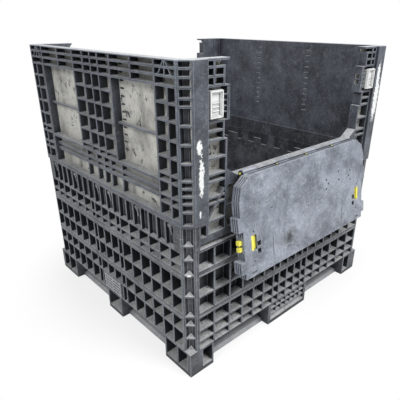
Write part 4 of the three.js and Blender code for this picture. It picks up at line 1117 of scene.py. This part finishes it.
class CONTAINER_OT_latch_grips(bpy.types.Operator):
    """Hollows the wall latches' handles and adds their raised rims and finger ribs"""

    bl_idname = "container.latch_grips"
    bl_label = "Latch grips"

    # The hollow's ends along each axis
    pan_x, pan_y, pan_z = (0.4585, 0.4955), (-0.570, -0.5606), (1.0185, 1.0865)
    # The rim: its ends across and up, the handle's face, how far it stands out and sinks in, the thickness
    # of its level bars, and half that of its upright ones
    rim_x, rim_z = (0.452, 0.502), (1.0105, 1.0945)
    face = -END_FACE_Y - 0.0073
    rim_out, rim_in = 0.0042, 0.001
    rim_width, rim_half = 0.004, 0.0022
    # The finger ribs: number, lowest, from one to the next, height, shorter than the rim, and ends in depth
    ribs, lowest, pitch, rib_height = 3, 1.030, 0.0125, 0.004
    rib_inset = 0.010
    rib_y = (-0.5642, -0.5602)

    def execute(self, context):
        rim_y = (self.face - self.rim_out, self.face + self.rim_in)
        for end, turn in ENDS:
            for side, sign in (("left", -1), ("right", 1)):
                # At the rear, which is turned half round, left and right change places.
                sign = -sign if end == "rear" else sign
                latch = f"wall_latch_{end}_{side}"
                pan = bmesh.new()
                block(pan, sorted(sign * x for x in self.pan_x), self.pan_y, self.pan_z)
                bmesh.ops.transform(pan, matrix=turn, verts=pan.verts)
                carve_node(f"latch_shell_{end}_{side}", latch, pan, "white")
                shape = bmesh.new()
                x = sorted(sign * reach for reach in self.rim_x)
                for z in (self.rim_z[0], self.rim_z[1] - self.rim_width):
                    block(shape, x, rim_y, (z, z + self.rim_width))
                for edge in x:
                    block(shape, (edge - self.rim_half, edge + self.rim_half), rim_y, self.rim_z)
                for i in range(self.ribs):
                    z = self.lowest + i * self.pitch
                    across = (x[0] + self.rib_inset, x[1] - self.rib_inset)
                    block(shape, across, self.rib_y, (z, z + self.rib_height))
                name = f"latch_grip_{end}_{side}"
                make_piece(name, shape, latch, "white", 0.5 * MM, turn)
        return {"FINISHED"}


class CONTAINER_OT_studio(bpy.types.Operator):
    """Sets the floor, the light and the camera"""

    bl_idname = "container.studio"
    bl_label = "Studio"

    floor_radius = 9
    floor_sides = 96
    # Lamps: place, what they point at, and width
    key_lamp = ((0.4, -3.0, 4.3), (0, 0, 0.5), 1.8)
    fill_lamp = ((-3.4, -1.0, 3.4), (0, 0, 0.7), 1.4)
    # The camera, as it was fitted to the container's straight edges: place, heading, tilt, roll and shift
    eye = (-1.3727, -1.5208, 1.2903)
    heading = math.radians(-42.979)
    tilt = math.radians(65.4)
    roll = math.radians(0.201)
    shift = (-0.0364, 0.026)
    sensor_width = 36
    view_depth = 50

    def make_floor(self, scene):
        """Adds a plain pale disc that keeps the container's shadow and fades to the white behind."""
        shape = bmesh.new()
        bmesh.ops.create_circle(shape, cap_ends=True, segments=self.floor_sides, radius=self.floor_radius)
        data = bpy.data.meshes.new("floor")
        shape.to_mesh(data)
        shape.free()
        floor = bpy.data.objects.new("floor", data)
        scene.collection.objects.link(floor)
        data.materials.append(self.floor_material(scene.container_studio))

    def floor_material(self, studio):
        """Rolled vinyl: flat, pale and faintly clouded, and white to the camera where it is far away."""
        material, tree = new_material("Vinyl rolled white floor")
        place = add(tree, "TexCoord").outputs["Object"]
        cloud = grow_marks(tree, place, cloud=(300, 3, 0.5, EVEN, 0))["cloud"]
        tint = layer(tree, studio.floor, studio.floor_worn, cloud)
        diffuse = add(tree, "BsdfDiffuse", {"Roughness": 0.5, "Color": tint})
        white = add(tree, "Emission", {"Color": (1, 1, 1, 1), "Strength": 1.0})
        rays = add(tree, "LightPath").outputs
        seen = add(tree, "Math", [rays["Is Camera Ray"], rays["Is Glossy Ray"]], **PLUS)
        seen = add(tree, "Math", [seen, rays["Is Transmission Ray"]], **PLUS)
        away = add(tree, "VectorMath", [place], **LENGTH)
        share = mask(tree, seen, (away, "floor_fade"))
        add(tree, "OutputMaterial", {"Surface": add(tree, "MixShader", [share, diffuse, white])})
        return material

    def make_world(self, scene):
        """Adds even light from all round, behind which the camera sees white."""
        world = bpy.data.worlds.new("studio")
        world.use_nodes = True
        tree = world.node_tree
        tree.nodes.clear()
        light = {"Color": (1, 1, 1, 1), "Strength": scene.container_studio.ambience}
        white = {"Color": (1, 1, 1, 1), "Strength": 1.0}
        seen = add(tree, "LightPath").outputs["Is Camera Ray"]
        lights = [add(tree, "Background", inputs) for inputs in (light, white)]
        add(tree, "OutputWorld", {"Surface": add(tree, "MixShader", [seen, *lights])})
        scene.world = world

    def make_lamp(self, scene, name, lamp, power):
        """Adds a square lamp that points at its target."""
        place, target, width = lamp
        data = bpy.data.lights.new(name, "AREA")
        data.shape = "SQUARE"
        data.size = width
        data.energy = power
        made = bpy.data.objects.new(name, data)
        made.location = place
        made.rotation_euler = (Vector(target) - Vector(place)).to_track_quat("-Z", "Y").to_euler()
        scene.collection.objects.link(made)

    def make_camera(self, scene):
        """Adds the camera at the photograph's viewing angle."""
        data = bpy.data.cameras.new("camera")
        data.sensor_width = self.sensor_width
        data.lens = scene.container_studio.lens
        data.shift_x, data.shift_y = self.shift
        data.clip_end = self.view_depth
        camera = bpy.data.objects.new("camera", data)
        camera.location = self.eye
        turn = Matrix.Rotation(self.heading, 4, "Z") @ Matrix.Rotation(self.tilt, 4, "X")
        camera.rotation_euler = (turn @ Matrix.Rotation(self.roll, 4, "Z")).to_euler()
        scene.collection.objects.link(camera)
        scene.camera = camera

    def execute(self, context):
        scene = context.scene
        scene.view_settings.view_transform = "Standard"
        self.make_floor(scene)
        self.make_world(scene)
        self.make_lamp(scene, "key", self.key_lamp, scene.container_studio.key_power)
        self.make_lamp(scene, "fill", self.fill_lamp, scene.container_studio.fill_power)
        self.make_camera(scene)
        return {"FINISHED"}


class CONTAINER_PT_panel(bpy.types.Panel):
    """Lists what makes the container"""

    bl_idname = "CONTAINER_PT_panel"
    bl_label = "Bulk container"
    bl_space_type = "VIEW_3D"
    bl_region_type = "UI"
    bl_category = "Container"

    def draw(self, context):
        for group in ("container_colours", "container_sizes", "container_studio"):
            settings = getattr(context.scene, group)
            column = self.layout.column()
            for name in settings.bl_rna.properties.keys():
                if name not in ("rna_type", "name"):
                    column.prop(settings, name)
        for operator in OPERATORS:
            self.layout.operator(operator.bl_idname)


GROUPS = (ContainerColours, ContainerSizes, ContainerStudio)
OPERATORS = (
    CONTAINER_OT_finishes,
    CONTAINER_OT_wall_braces,
    CONTAINER_OT_vent_slats,
    CONTAINER_OT_wall_skirts,
    CONTAINER_OT_louvres,
    CONTAINER_OT_foot_ribs,
    CONTAINER_OT_corner_wedges,
    CONTAINER_OT_hinge_hooks,
    CONTAINER_OT_door_panels,
    CONTAINER_OT_rod_caps,
    CONTAINER_OT_hinge_pins,
    CONTAINER_OT_latch_teeth,
    CONTAINER_OT_latch_grips,
    CONTAINER_OT_studio,
)
CLASSES = (*GROUPS, *OPERATORS, CONTAINER_PT_panel)


def register():
    for entry in CLASSES:
        bpy.utils.register_class(entry)
    bpy.types.Scene.container_colours = PointerProperty(type=ContainerColours)
    bpy.types.Scene.container_sizes = PointerProperty(type=ContainerSizes)
    bpy.types.Scene.container_studio = PointerProperty(type=ContainerStudio)


def unregister():
    del bpy.types.Scene.container_colours
    del bpy.types.Scene.container_sizes
    del bpy.types.Scene.container_studio
    for entry in reversed(CLASSES):
        bpy.utils.unregister_class(entry)


def main():
    register()
    for operator in OPERATORS:
        group, name = operator.bl_idname.split(".")
        getattr(getattr(bpy.ops, group), name)()


if __name__ == "__main__":
    main()
